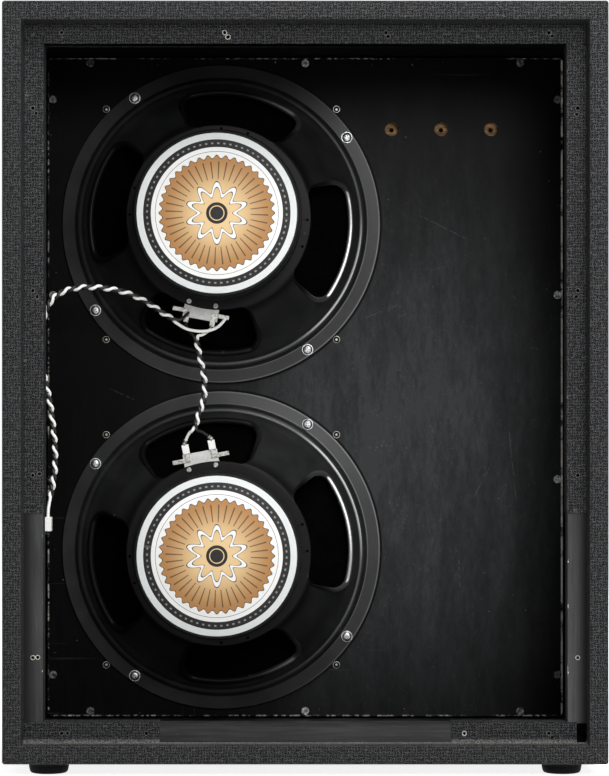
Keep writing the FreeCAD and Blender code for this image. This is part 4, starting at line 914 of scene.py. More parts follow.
# %% Paper, fibre, plastic and rubber
def plain_stuff(name, base, pale, rough, scale, bump, specular=0.4, film=0.5):
    material, tree, shader, coords = new_finish(name, specular=specular)
    spot = coords["Object"]
    cloud = noise(tree, spot, scale * 0.2, 4.0, 0.6)
    fibre = noise(tree, spot, scale, 5.0, 0.65)
    dusty = use_group(tree, dust, Vector=spot, Amount=film)
    tone = lifted(tree, cloud, 0.5, times(tree, fibre, 0.5))
    colour = mixed(tree, ramp(tree, tone, 0.32, 0.68), base, pale)
    colour = laid(tree, colour, dusty["Film"], 0.25, (0.28, 0.27, 0.24))
    finish_off(tree, shader, colour, lifted(tree, cloud, 0.2, rough), fibre, bump, 0.0004)
    return material


cone_paper = plain_stuff("cone_paper", (0.0006, 0.0006, 0.0006), (0.0018, 0.0017, 0.0016), 0.85, 420.0, 0.4,
                         specular=0.01, film=0.02)
surround_cloth = plain_stuff("surround_cloth", (0.001, 0.001, 0.001), (0.003, 0.003, 0.003), 0.6, 900.0, 0.5,
                             specular=0.03, film=0.05)
spider_cloth = plain_stuff("spider_cloth", (0.16, 0.075, 0.02), (0.26, 0.13, 0.04), 0.7, 900.0, 0.5)
gasket_board = plain_stuff("gasket_board", (0.014, 0.013, 0.012), (0.030, 0.028, 0.026), 0.8, 300.0, 0.4)
fibre_board = plain_stuff("fibre_board", (0.46, 0.46, 0.45), (0.60, 0.60, 0.58), 0.6, 500.0, 0.25)
rubber_finish = plain_stuff("foot_rubber", (0.004, 0.004, 0.004), (0.009, 0.009, 0.009), 0.55, 250.0, 0.25,
                            specular=0.1)
jack_plastic = plain_stuff("jack_plastic", (0.008, 0.008, 0.008), (0.014, 0.014, 0.014), 0.35, 200.0, 0.1)
white_wire = plain_stuff("white_wire", (0.80, 0.80, 0.78), (0.90, 0.90, 0.88), 0.30, 260.0, 0.08)
black_wire = plain_stuff("black_wire", (0.006, 0.006, 0.006), (0.014, 0.014, 0.014), 0.26, 260.0, 0.08,
                         specular=0.3)
nylon_finish = plain_stuff("nylon_sleeve", (0.66, 0.66, 0.63), (0.80, 0.80, 0.77), 0.4, 200.0, 0.1)
tinsel_finish = plain_stuff("tinsel_braid", (0.30, 0.20, 0.11), (0.48, 0.34, 0.20), 0.5, 1400.0, 0.8)
print("materials:", len(bpy.data.materials))

# %% [markdown]
# The floor is a matt pale sheet. For the rays that show the set it also glows, so that it is
# nearly white in the picture without more light on the cabinet.

# %% Floor finish
def floor_finish():
    material, tree, shader, coords = new_finish("pale_floor", specular=0.2)
    cloud = noise(tree, coords["Object"], 1.2, 2.0)
    finish_off(tree, shader, mixed(tree, cloud, (0.86, 0.86, 0.86), (0.89, 0.89, 0.89)), 0.7)
    shader.inputs["Emission Color"].default_value = (1, 1, 1, 1)
    wire(tree, shader.inputs["Emission Strength"], times(tree, seen_rays(tree), 0.85))
    return material


floor.data.materials.append(floor_finish())
print("floor is", floor.data.materials[0].name)

# %% [markdown]
# The covering is one skin over the whole box: it wraps over the rear edge and lines the
# recess for the back panel, and wraps over the front lips down to the baffle. A cube is
# opened at both ends with inset and extrude, its edges are rounded, and Solidify gives the
# skin its thickness towards the wood.

# %% Leathercloth covering
WRAP_LOW, WRAP_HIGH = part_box("vinyl_covering")
REAR_RIM = 0.017
REAR_LINING = 0.028
FRONT_RIM = 0.037
FRONT_LINING = 0.026


def leathercloth_wrap():
    wrap = block(WRAP_LOW, WRAP_HIGH)
    for side, rim, lining in ((-1, REAR_RIM, REAR_LINING), (1, FRONT_RIM, FRONT_LINING)):
        edit(wrap)
        choose(wrap, "FACE", lambda middle, normal: normal.y * side > 0.9)
        bpy.ops.mesh.inset(thickness=rim, depth=0)
        bpy.ops.mesh.extrude_region_move(TRANSFORM_OT_translate={"value": (0, -side * lining, 0)})
        bpy.ops.mesh.delete(type="FACE")
        deselect()
    modify(wrap, "BEVEL", width=0.0024, segments=4, limit_method="ANGLE", angle_limit=math.radians(40))
    modify(wrap, "SOLIDIFY", thickness=0.00095, offset=-1)
    low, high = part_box("jack_dish")
    hole = block((low.x - 0.02, low.y, low.z), (low.x + 0.03, high.y, high.z))
    edit(hole)
    choose(hole, "EDGE", lambda middle, way: abs(way.x) > 0.9)
    bpy.ops.mesh.bevel(offset=0.006, segments=6)
    deselect()
    cut(wrap, hole)
    smooth(wrap)
    unwrap(wrap)
    return wrap


dress(leathercloth_wrap(), "covering", leathercloth_finish, ["vinyl_covering"])

strips = softened("cleat_covering", 0.0006)
unwrap(strips)
dress(strips, "cleat_strips", leathercloth_finish, ["cleat_covering"])

# %% [markdown]
# The cleats, the baffle and the panels are sawn boards, so the solids have the right shape
# already. Those that show from behind get their edges eased, because a sharp edge catches no
# light.

# %% Boards
for place in ("top", "bottom", "left", "right"):
    node = "rear_cleat_" + place
    lie = "level" if place in ("top", "bottom") else "upright"
    dress(softened(node, 0.0008), "cleat_" + place, cleat_paints[lie], [node])
dress(softened("baffle_board", 0.0009), "baffle", baffle_paint, ["baffle_board"])
paint(inner_paint, "top_panel", "bottom_panel", "left_side_panel", "right_side_panel", "grille_board",
      "front_lip_top", "front_lip_bottom", "front_lip_left", "front_lip_right")

# %% [markdown]
# Between the baffle and the walls a narrow gap shows the edge of the front cloth, caught
# under the lips. It is a thin frame of the same weave: a plate with its middle cut out.

# %% Cloth edge in the gap
EDGE_OUTSIDE = ((-0.2538, 0.1184, 0.0282), (0.2538, 0.1189, 0.6758))
EDGE_OPENING = ((-0.2350, 0.10, 0.0470), (0.2350, 0.13, 0.6570))


def cloth_edge():
    border = block(*EDGE_OUTSIDE)
    cut(border, block(*EDGE_OPENING))
    unwrap(border)
    return border


dress(cloth_edge(), "cloth_edge", grille_finish, slot="grille_cloth")

# %% [markdown]
# Turned pieces are drawn as a half section, one vertex after another by extrude, and spun
# about their axis. The line starts as one corner of a small triangle, since no primitive is
# a single point.

# %% Turned pieces
START = 0.001


def draw(points):
    """A line drawn by extruding one vertex from point to point."""
    deselect()
    bpy.ops.mesh.primitive_circle_add(vertices=3, radius=START)
    item = bpy.context.object
    edit(item, "VERT")
    choose(item, "VERT", lambda spot, normal: spot.y < START * 0.9)
    bpy.ops.mesh.delete(type="VERT")
    bpy.ops.mesh.select_all(action="SELECT")
    bpy.ops.transform.translate(value=Vector(points[0]) - Vector((0, START, 0)))
    for start, end in zip(points, points[1:]):
        bpy.ops.mesh.extrude_vertices_move(TRANSFORM_OT_translate={"value": Vector(end) - Vector(start)})
    deselect()
    return item


def lathe(profile, steps):
    """Spin a half section, given as radius and height behind the seat, about the Y axis."""
    item = draw([(radius, -behind, 0) for radius, behind in profile])
    edit(item, "VERT")
    bpy.ops.mesh.spin(steps=steps, angle=math.tau, center=(0, 0, 0), axis=(0, 1, 0))
    deselect()
    tidy_mesh(item)
    return item


def turned(degrees, axis="Y"):
    return Matrix.Rotation(math.radians(degrees), 4, axis)


# %% [markdown]
# Each foot is a moulded rubber disc, a little wider at the top, with a rounded tread edge
# and a recess for its screw.

# %% Feet
FOOT_X = 0.232
FOOT_Y = 0.100


def foot():
    """Half section of a foot from the middle of its tread to the box, turned upright."""
    profile = [(0.0, 0.006), (0.0068, 0.006), (0.0070, 0.0058), (0.0070, 0.0008), (0.0076, 0.0),
               (0.0148, 0.0), (0.0160, 0.0004), (0.0169, 0.0014), (0.0175, 0.0030), (0.0181, 0.0062),
               (0.0179, 0.0068), (0.0184, 0.0074), (0.0188, 0.0112), (0.0186, 0.0119), (0.0, 0.0119)]
    item = lathe(profile, 72)
    item.data.transform(turned(-90, "X"))
    smooth(item, 40)
    return item


foot_blank = foot()
feet = [twin(foot_blank, Matrix.Translation((FOOT_X * x, FOOT_Y * y, 0))) for x in (-1, 1) for y in (-1, 1)]
bpy.data.objects.remove(foot_blank)
feet = joined(feet)
tidy_mesh(feet)
dress(feet, "feet", rubber_finish, ["rubber_feet"])
print("feet reach down to", round(min(v.co.z for v in feet.data.vertices), 5))

# %% [markdown]
# The back panel's screws have left pilot holes in the cleats. Cloth or wood torn up by the
# thread stands round each as a ring, and some were drilled twice; a second hole is a thin disc
# painted near black as the shade inside it. The list gives each hole's place, the step to its
# second hole and whether its rim is bright.

# %% Pilot hole rims
LEFT, RIGHT, TOP, BOTTOM = -0.245, 0.245, 0.667, 0.037
PILOTS = [(LEFT, 0.105, (0.0044, 0.0003), 1), (LEFT, 0.269, (0.006, 0.0012), 0),
          (LEFT, 0.435, (0.004, -0.0055), 0), (LEFT, 0.599, (0.003, -0.0045), 0),
          (RIGHT, 0.105, None, 1), (RIGHT, 0.269, None, 0),
          (RIGHT, 0.435, (-0.0015, -0.0055), 0), (RIGHT, 0.599, (-0.001, -0.0056), 0),
          (-0.219, TOP, None, 0), (-0.0725, TOP, (0.003, -0.004), 1),
          (0.0725, TOP, (0.002, -0.0035), 0), (0.219, TOP, (0.003, -0.003), 0),
          (-0.219, BOTTOM, (0.0052, 0.0002), 0), (-0.143, BOTTOM, None, 0),
          (0.143, BOTTOM, None, 1), (0.219, BOTTOM, (0.003, -0.0035), 0)]
BARE_WOOD_REAR = -0.1170
STRIP_REAR = -0.1180


def pilot_rims():
    """Torn rims round the holes, sorted into dull and bright ones, and the second holes as dark discs of
    painted shade.
    """
    dice = random.Random(11)
    blank = lathe([(0.00150, 0.0), (0.00235, 0.0), (0.00222, 0.00022), (0.00195, 0.00032),
                   (0.00165, 0.00024), (0.00150, 0.0)], 20)
    painted_pit = lathe([(0.0, 0.00008), (0.00135, 0.00008), (0.00150, 0.00002)], 20)
    rims, painted_pits = ([], []), []
    for x, z, second, bright in PILOTS:
        rear = BARE_WOOD_REAR if z < 0.2 and abs(x) > 0.24 else STRIP_REAR
        spots = [Vector((x, rear, z))]
        if second:
            spots.append(spots[0] + Vector((second[0], 0, second[1])))
            # A second hole is a thin disc painted near black as the shade inside it.
            painted_pits.append(twin(painted_pit, Matrix.Translation(spots[1])))
        for spot in spots:
            wide, tall = dice.uniform(0.86, 1.1), dice.uniform(0.86, 1.1)
            tilt = Matrix.Rotation(dice.uniform(-0.06, 0.06), 4, "X")
            place = Matrix.Translation(spot) @ tilt @ Matrix.Diagonal((wide, 1, tall, 1))
            rims[bright].append(twin(blank, place))
    for item in (blank, painted_pit):
        bpy.data.objects.remove(item)
    return joined(rims[0]), joined(rims[1]), joined(painted_pits)


torn_cloth = plain_stuff("torn_cloth", (0.02, 0.02, 0.02), (0.15, 0.15, 0.15), 0.8, 900.0, 0.6, specular=0.1)
torn_wood = plain_stuff("torn_wood", (0.22, 0.21, 0.19), (0.60, 0.58, 0.53), 0.8, 1500.0, 0.6)
hole_painted_shade = plain_stuff("hole_painted_shade", (0.001, 0.001, 0.001), (0.004, 0.003, 0.003), 0.9, 900.0, 0.3,
                        specular=0.05)
for rim, title, finish in zip(pilot_rims(), ("pilot_rims_cloth", "pilot_rims_wood", "painted_old_pilot_holes"),
                              (torn_cloth, torn_wood, hole_painted_shade)):
    dress(rim, title, finish, slot="black_wood")

# %% [markdown]
# A screw is turned with its head, domed or flat, and a cross is cut into the head by two
# crossed blades that narrow downwards. Each kind is modelled once, then copied with a turn of
# its own, since no two screws stop at the same angle.

# %% Screws
def screw(head, height, shank, length, cross, flat_edge=None):
    """A screw along +Y: a dome behind the plane y = 0, or with a flat edge a head sunk in front of it."""
    if flat_edge:
        top = 0.0
        profile = [(0.0, 0.0), (head * 0.46, 0.0), (head / 2, -flat_edge), (shank / 2, -height)]
    else:
        top = height
        profile = [(0.0, height), (head * 0.2, height * 0.98), (head * 0.34, height * 0.9),
                   (head * 0.44, height * 0.7), (head * 0.49, height * 0.42), (head / 2, height * 0.12),
                   (head / 2, 0.0), (shank / 2, 0.0)]
    profile += [(shank / 2, -length + shank / 2), (0.0, -length)]
    item = lathe(profile, 40)
    blades = []
    for turn in (0, 90):
        blade = block((-cross / 2, -top - 0.002, -cross / 9), (cross / 2, -top + cross * 0.42, cross / 9))
        edit(blade)
        choose(blade, "FACE", lambda middle, normal: normal.y > 0.9)
        bpy.ops.transform.resize(value=(0.45, 1, 0.7), center_override=(0, 0, 0))
        deselect()
        blade.data.transform(turned(turn))
        blades.append(blade)
    for blade in blades:
        cut(item, blade)
    smooth(item, 32)
    return item


def set_out(item, spots, seed, tilt=0.0):
    """Copies of a piece at the given places, each with a turn of its own."""
    dice = random.Random(seed)
    copies = []
    for spot in spots:
        turn = Matrix.Rotation(dice.uniform(0, math.pi), 4, "Y")
        lean = Matrix.Rotation(dice.uniform(-tilt, tilt), 4, "X")
        copies.append(twin(item, Matrix.Translation(spot) @ (turn @ lean)))
    bpy.data.objects.remove(item)
    return joined(copies)


# %% [markdown]
# Each loudspeaker is held by four bright pan heads on washers. The two loudspeakers are the
# same but turned so that their terminals face each other, so a place on one is given from its
# own axis and moved by its matrix.

# %% Loudspeaker screws
SPEAKERS = {"upper": (Vector((SPEAKER_X, BAFFLE_REAR, MIDDLE_HEIGHT + HALF_SPACING)), 190.5),
            "lower": (Vector((SPEAKER_X, BAFFLE_REAR, MIDDLE_HEIGHT - HALF_SPACING)), -10.5)}
SCREW_CIRCLE = 0.14875
CORNERS = [math.radians(45 + 90 * quarter) for quarter in range(4)]
WASHER_REAR = 0.0057


def polar(radius, angle):
    return Vector((radius * math.sin(angle), 0, radius * math.cos(angle)))


def speaker_matrix(name):
    spot, turn = SPEAKERS[name]
    return Matrix.Translation(spot) @ turned(turn)


mount_spots = [speaker_matrix(name) @ (polar(SCREW_CIRCLE, angle) - Vector((0, WASHER_REAR, 0)))
               for name in SPEAKERS for angle in CORNERS]
pan_head = screw(0.0095, 0.0034, 0.005, 0.022, 0.0056)
dress(set_out(pan_head, mount_spots, 3, 0.03), "mount_screws", zinc_finish, ["speaker_screws"])
dress(softened("speaker_washers", 0.00025), "mount_washers", zinc_finish, ["speaker_washers"])

# %% [markdown]
# The baffle's screws sit flush. Most are still black; those in the middle of the top, the
# bottom and the right side are rubbed bright. Small flat heads hold the jack's dish.

# %% Baffle screws and small fasteners
ROW_X, ROW_Z = 0.210, 0.3165
COLUMN_X = 0.2465
COLUMN_HEIGHTS = (-0.281, -0.09, 0.09, 0.281)
DISH_Y, DISH_Z = -0.033, 0.213
DISH_REACH = 0.025

baffle_spots = [Vector((x * ROW_X, BAFFLE_REAR, MIDDLE_HEIGHT + z * ROW_Z))
                for x in (-1, 0, 1) for z in (-1, 1)]
baffle_spots += [Vector((x * COLUMN_X, BAFFLE_REAR, MIDDLE_HEIGHT + height))
                 for x in (-1, 1) for height in COLUMN_HEIGHTS]
rubbed_spots = [spot for spot in baffle_spots
                if abs(spot.x) < 0.1 or (spot.x > 0.24 and abs(spot.z - MIDDLE_HEIGHT) < 0.1)]
black_spots = [spot for spot in baffle_spots if spot not in rubbed_spots]
flush_head = screw(0.008, 0.0028, 0.004, 0.034, 0.0045, flat_edge=0.0003)
board_screws = [set_out(twin(flush_head), black_spots, 5), set_out(flush_head, rubbed_spots, 6)]
for item, finish in zip(board_screws, (dark_screw_finish, rubbed_screw_finish)):
    item.data.materials.append(finish)
dress(joined(board_screws), "board_screws", None, ["baffle_screws"])

dish_spots = [Vector((-HALF_WIDTH, DISH_Y + y * DISH_REACH, DISH_Z + z * DISH_REACH))
              for y in (-1, 1) for z in (-1, 1)]
small_head = screw(0.0054, 0.0012, 0.003, 0.010, 0.0031, flat_edge=0.0002)
small_head.data.transform(turned(-90, "Z"))
dish_screws = [twin(small_head, Matrix.Translation(spot)) for spot in dish_spots]
bpy.data.objects.remove(small_head)
dress(joined(dish_screws), "dish_screws", zinc_finish, ["jack_dish_screws"])
paint(zinc_finish, "foot_screws", "speaker_tee_nuts")
paint(insert_finish, "grille_bolts")
dress(softened("grille_inserts", 0.0003), "inserts", insert_finish, ["grille_inserts"])

# %% [markdown]
# The basket is one pressing of steel sheet: a flat rim, a rounded step, a conical bowl with
# four windows and a landing ring under the magnet. Its rear side is spun from a half section,
# given as radius and height behind the baffle.

# %% Section of the basket
SHEET = 0.0015
BASKET = [(0.1550, 0.0034), (0.1550, 0.0040), (0.1547, 0.0044), (0.1543, 0.0045), (0.1432, 0.0045),
          (0.1426, 0.0047), (0.1420, 0.0054), (0.1411, 0.0071), (0.1400, 0.0092), (0.1391, 0.0104),
          (0.1380, 0.0110), (0.1368, 0.0112), (0.1358, 0.0115), (0.1350, 0.0123), (0.1342, 0.0136),
          (0.1333, 0.0150), (0.1312, 0.0172), (0.1290, 0.0194), (0.1268, 0.0216), (0.1180, 0.0375),
          (0.1080, 0.0556), (0.0980, 0.0735), (0.0912, 0.0856), (0.0900, 0.0876), (0.0886, 0.0890),
          (0.0870, 0.0898), (0.0855, 0.0900), (0.0622, 0.0900), (0.0620, 0.0902), (0.0620, 0.0980),
          (0.0400, 0.0980)]


def behind_at(radius):
    """How far behind the baffle the basket's rear side lies at a radius."""
    for (r0, h0), (r1, h1) in zip(BASKET, BASKET[1:]):
        if r1 <= radius <= r0 and r0 > r1:
            return h0 + (h1 - h0) * (r0 - radius) / (r0 - r1)
    return BASKET[-1][1]


print("basket reaches", max(behind for radius, behind in BASKET), "behind the baffle")

# %% [markdown]
# Each window is a sector with rounded corners, drawn as one closed line. A rolled bead runs
# along it, as on the real pressing, and catches the light: the same line, laid on the bowl and
# given a round thickness.

# %% Windows and their beads
WINDOW_IN, WINDOW_OUT = 0.0865, 0.1262
WINDOW_HALF = math.radians(29.5)
INNER_CORNER, OUTER_CORNER = 0.0105, 0.0130
BEAD_REACH = 0.1279
BEAD_RADIUS = 0.0030
BEAD_SINK = 0.0016


def window_outline():
    """A closed sector with rounded corners, centred on the terminal direction."""
    out_middle = WINDOW_OUT - OUTER_CORNER
    in_middle = WINDOW_IN + INNER_CORNER
    out_angle = WINDOW_HALF - math.asin(OUTER_CORNER / out_middle)
    in_angle = WINDOW_HALF - math.asin(INNER_CORNER / in_middle)
    sideways = WINDOW_HALF + math.pi / 2
    half = [polar(WINDOW_OUT, out_angle * step / 10) for step in range(10)]
    corners = ((polar(out_middle, out_angle), OUTER_CORNER, out_angle, sideways),
               (polar(in_middle, in_angle), INNER_CORNER, sideways, in_angle + math.pi))
    for middle, radius, first, last in corners:
        half += [middle + polar(radius, first + (last - first) * step / 8) for step in range(9)]
    half += [polar(WINDOW_IN, in_angle * (1 - step / 8)) for step in range(1, 9)]
    other = [Vector((-spot.x, 0, spot.z)) for spot in reversed(half[1:-1])]
    return draw([*half, *other, half[0]])


def window_bead(outline):
    """The rolled edge: a bead along the window, thick outside and thin by the magnet."""
    bead = twin(outline)
    for vertex in bead.data.vertices:
        vertex.co.y = -behind_at(min(math.hypot(vertex.co.x, vertex.co.z), BEAD_REACH)) + BEAD_SINK
    pick(bead)
    bpy.ops.object.convert(target="CURVE")
    bead = bpy.context.object
    bead.data.bevel_depth = BEAD_RADIUS
    bead.data.bevel_resolution = 4
    for point in bead.data.splines[0].points:
        reach = math.hypot(point.co.x, point.co.z)
        point.radius = 0.36 + 0.64 * min(max((reach - 0.090) / 0.03, 0), 1)
    pick(bead)
    bpy.ops.object.convert(target="MESH")
    return bpy.context.object


print("windows open", round(2 * math.degrees(WINDOW_HALF)), "degrees each")

# %% [markdown]
# The spun section is thickened to a sheet. Then the four windows, the screw holes in the rim
# and three pairs of small holes in the landing ring are cut through it.

# %% Baskets
SMALL_HOLE_X, SMALL_HOLE_Z = 0.0128, 0.083


def drilled(pressing, spot, radius, start, end, steps):
    drill = lathe([(0.0, start), (radius, start), (radius, end), (0.0, end)], steps)
    drill.data.transform(Matrix.Translation(spot))
    cut(pressing, drill)


def basket():
    pressing = lathe(BASKET, 144)
    modify(pressing, "SOLIDIFY", thickness=SHEET, offset=-1)
    sector = window_outline()
    tidy_mesh(sector)
    bead = window_bead(sector)
    edit(sector, "VERT")
    bpy.ops.mesh.edge_face_add()
    bpy.ops.mesh.extrude_region_move(TRANSFORM_OT_translate={"value": (0, -0.120, 0)})
    deselect()
    tidy_mesh(sector)
    beads = []
    for quarter in range(4):
        cut(pressing, twin(sector, turned(90 * quarter)))
        beads.append(twin(bead, turned(90 * quarter)))
    for quarter, angle in enumerate(CORNERS):
        if quarter:
            for side in (-1, 1):
                spot = turned(90 * quarter) @ Vector((side * SMALL_HOLE_X, 0, SMALL_HOLE_Z))
                drilled(pressing, spot, 0.0013, 0.080, 0.10, 16)
        drilled(pressing, polar(SCREW_CIRCLE, angle), 0.003, 0.0, 0.010, 24)
    for item in (sector, bead):
        bpy.data.objects.remove(item)
    pressing.data.materials.append(basket_enamel)
    for item in beads:
        item.data.materials.append(bead_enamel)
    whole = joined([*beads, pressing])
    smooth(whole, 38)
    return whole


basket_blank = basket()
for name in SPEAKERS:
    dress(twin(basket_blank, speaker_matrix(name)), name + "_pressing", None, [name + "_basket"])
bpy.data.objects.remove(basket_blank)

# %% [markdown]
# The magnet is a ring of black ferrite between two steel plates. All three are turned with
# small chamfers, and the rear plate carries the pole that reaches into the coil.

# %% Magnets
TURNED = {
    "front_plate": ([(0.0275, 0.0980), (0.0740, 0.0980), (0.0740, 0.1055), (0.0735, 0.1060), (0.0275, 0.1060),
                     (0.0275, 0.0980)], plate_enamel),
    "magnet": ([(0.0320, 0.1060), (0.0780, 0.1060), (0.0787, 0.1064), (0.0790, 0.1072), (0.0790, 0.1286),
                (0.0786, 0.1295), (0.0778, 0.1300), (0.0320, 0.1300), (0.0320, 0.1060)], ferrite_finish),
    "yoke": ([(0.0, 0.0980), (0.0243, 0.0980), (0.0243, 0.1300), (0.0768, 0.1300), (0.0770, 0.1304),
              (0.0770, 0.1386), (0.0766, 0.1396), (0.0756, 0.1400), (0.0, 0.1400)], plate_enamel),
}
for part, (profile, finish) in TURNED.items():
    blank = lathe(profile, 128)
    smooth(blank, 30)
    for name in SPEAKERS:
        placed = twin(blank, speaker_matrix(name))
        dress(placed, "%s_turned_%s" % (name, part), finish, ["%s_%s" % (name, part)])
    bpy.data.objects.remove(blank)

# %% [markdown]
# The label is a printed paper disc. Its print is a plain ornament drawn with arithmetic:
# a pale rim, a black band with a ring of small dots, and a scalloped copper field with a
# rosette on white paper. Radius and angle come from the position on the disc.

# %% Printed labels
def label_print(name):
    material, tree, shader, coords = new_finish(name + "_label_print", specular=0.2)
    x, _, z = axes(tree, vectors(tree, "SUBTRACT", coords["Object"], SPEAKERS[name][0]))
    radius = length_of(tree, x, z)
    angle = sums(tree, "ARCTAN2", x, z)

    def band(low, high, soft=0.00015):
        rise = ramp(tree, radius, low - soft, low + soft)
        return times(tree, rise, ramp(tree, radius, high + soft, high - soft))

    def rays(count, low, high):
        return ramp(tree, sums(tree, "SINE", times(tree, angle, float(count))), low, high)

    def scallop(middle, depth, count):
        """1 inside a wavy circle of so many lobes."""
        wave = sums(tree, "COSINE", times(tree, angle, float(count)))
        edge = sums(tree, "SUBTRACT", radius, lifted(tree, wave, depth, middle))
        return ramp(tree, edge, 0.00015, -0.00015)

    mottle = noise(tree, coords["Object"], 500.0, 4.0)
    paper = mixed(tree, mottle, (0.70, 0.70, 0.69), (0.78, 0.78, 0.77))
    rim_paper = mixed(tree, mottle, (0.58, 0.60, 0.60), (0.66, 0.68, 0.68))
    copper = mixed(tree, ramp(tree, radius, 0.014, 0.052), (0.66, 0.47, 0.25), (0.36, 0.18, 0.065))
    black = mixed(tree, mottle, (0.008, 0.008, 0.008), (0.016, 0.016, 0.016))
    colour = mixed(tree, scallop(0.0525, 0.0016, 40), paper, black)
    colour = mixed(tree, scallop(0.0517, 0.0016, 40), colour, copper)
    colour = laid(tree, colour, times(tree, band(0.0315, 0.0478), rays(40, 0.78, 0.92)), 0.75, black)
    for middle, depth, ink in ((0.0244, 0.0053, black), (0.0235, 0.0052, paper), (0.0196, 0.0047, black),
                               (0.0187, 0.0046, copper)):
        colour = mixed(tree, scallop(middle, depth, 10), colour, ink)
    for low, high, ink in ((0.0, 0.0100, black), (0.0062, 0.0071, copper), (0.0569, 0.0573, black),
                           (0.0612, 0.0684, black)):
        colour = mixed(tree, band(low, high), colour, ink)
    dots = times(tree, band(0.0640, 0.0655, 0.0003), rays(72, 0.2, 0.6))
    colour = laid(tree, colour, dots, 0.5, (0.42, 0.41, 0.39))
    colour = mixed(tree, band(0.0684, 0.0750), colour, rim_paper)
    scuff = use_group(tree, wear, Vector=coords["Object"], Edge=0.0, Amount=0.3)
    colour = laid(tree, colour, scuff["Scratches"], 0.4, (0.5, 0.48, 0.45))
    finish_off(tree, shader, colour, lifted(tree, mottle, 0.15, 0.48), mottle, 0.04, 0.0002)
    return material


LABEL = [(0.0, 0.1400), (0.0744, 0.1400), (0.0744, 0.14032), (0.07425, 0.1404), (0.0, 0.1404)]
for name in SPEAKERS:
    disc = lathe(LABEL, 128)
    disc.data.transform(speaker_matrix(name))
    smooth(disc, 30)
    dress(disc, name + "_printed_label", label_print(name), [name + "_label"])

# %% [markdown]
# The moving parts are thin: the paper cone and dust cap stay as the solids give them, and
# the corrugated surround and spider are spun from wavy half sections. Those two are held at
# one edge by the basket and at the other by the cone.

# %% Cones and suspensions
def waves(start, end, rolls, size):
    """A wavy half section between two places, with a number of rolls along it."""
    steps = rolls * 10
    spots = []
    for step in range(steps + 1):
        share = step / steps
        swing = size * math.sin(share * rolls * math.pi)
        spots.append((start[0] + (end[0] - start[0]) * share, start[1] + (end[1] - start[1]) * share + swing))
    return spots


def suspension(name, part, profile, wall, finish):
    item = lathe(profile, 128)
    modify(item, "SOLIDIFY", thickness=wall, offset=0)
    item.data.transform(speaker_matrix(name))
    smooth(item, 60)
    node = "%s_%s" % (name, part)
    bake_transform(item)
    dress(item, node + "_cloth", finish, [node], body=None)


SURROUND = [(0.1538, 0.0026), *waves((0.1400, 0.0026), (0.1310, 0.0076), 2, 0.0012), (0.1266, 0.0076)]
SPIDER = [(0.0778, 0.0881), *waves((0.0720, 0.0881), (0.0284, 0.0796), 6, 0.0012), (0.0255, 0.0796)]
for name in SPEAKERS:
    suspension(name, "surround", SURROUND, 0.0006, surround_cloth)
    suspension(name, "spider", SPIDER, 0.0005, spider_cloth)
    paint(cone_paper, name + "_cone", name + "_dust_cap")
    paint(copper_finish, name + "_voice_coil")
    paint(gasket_board, name + "_gasket")

# %% [markdown]
# A grey fibre board is riveted under the landing ring of each basket and carries two tinned
# tags. The solids are stamped shapes already, so their edges are only eased.

# %% Terminals
for name in SPEAKERS:
    board, tags = name + "_terminal_board", name + "_terminal_tags"
    dress(softened(board, 0.0004), name + "_fibre_board", fibre_board, [board])
    dress(softened(tags, 0.0002), name + "_tags", tin_finish, [tags])

# %% [markdown]
# The leads are pairs of wires, one white and one black, twisted by hand. Each route goes
# through the same points as the solid, and the tails run on from its ends to the terminals as
# single wires.

# %% Routes of the leads
MAIN_ROUTE = [(-0.2367, -0.033, 0.247), (-0.23317, -0.03108, 0.26521), (-0.23238, -0.02902, 0.28793),
              (-0.23466, -0.02696, 0.31271), (-0.23819, -0.02497, 0.33838), (-0.24419, -0.02288, 0.36215),
              (-0.2462, -0.02133, 0.38622), (-0.24582, -0.01989, 0.40915), (-0.24067, -0.01793, 0.4281),
              (-0.22834, -0.01396, 0.43997), (-0.2093, -0.00895, 0.44427), (-0.18829, -0.00488, 0.44364),
              (-0.16688, -0.00197, 0.43914), (-0.14762, 0.00111, 0.42984), (-0.13282, 0.00203, 0.4189),
              (-0.1216, 0.002, 0.41257)]
LINK_ROUTE = [(-0.10314, 0.005, 0.39694), (-0.10075, 0.00612, 0.385), (-0.0976, 0.00732, 0.37073),
              (-0.0948, 0.00749, 0.35637), (-0.09465, 0.00766, 0.344), (-0.09785, 0.00681, 0.33196),
              (-0.10172, 0.00586, 0.32096), (-0.10387, 0.005, 0.31099)]
MAIN_TAILS = [
    [(-0.2387, -0.0367, 0.229), (-0.2387, -0.0367, 0.2351), (-0.23787, -0.03518, 0.24111),
     (-0.23672, -0.03455, 0.24706)],
    [(-0.2387, -0.0293, 0.229), (-0.2387, -0.0293, 0.23499), (-0.23785, -0.03209, 0.24089),
     (-0.23672, -0.03147, 0.24674)],
    [(-0.07535, 0.0101, 0.41518), (-0.0796, 0.00799, 0.40905), (-0.08666, 0.00508, 0.40451),
     (-0.09545, 0.00264, 0.40268), (-0.10423, 0.00159, 0.40324), (-0.11278, 0.00175, 0.40509),
     (-0.12071, 0.002, 0.41028)],
    [(-0.11044, 0.0101, 0.42067), (-0.11253, 0.00621, 0.41808), (-0.11568, 0.00329, 0.41531),
     (-0.11918, 0.002, 0.41298)],
]
LINK_TAILS = [
    [(-0.08875, 0.0121, 0.40597), (-0.09592, 0.00846, 0.39959), (-0.10199, 0.00483, 0.3991)],
    [(-0.11333, 0.0121, 0.41053), (-0.10973, 0.00846, 0.40156), (-0.10503, 0.00483, 0.39849)],
    [(-0.11406, 0.0121, 0.29741), (-0.11047, 0.00847, 0.30639), (-0.10578, 0.00484, 0.30947)],
    [(-0.08948, 0.0121, 0.30196), (-0.09666, 0.00847, 0.30834), (-0.10275, 0.00484, 0.30881)],
]
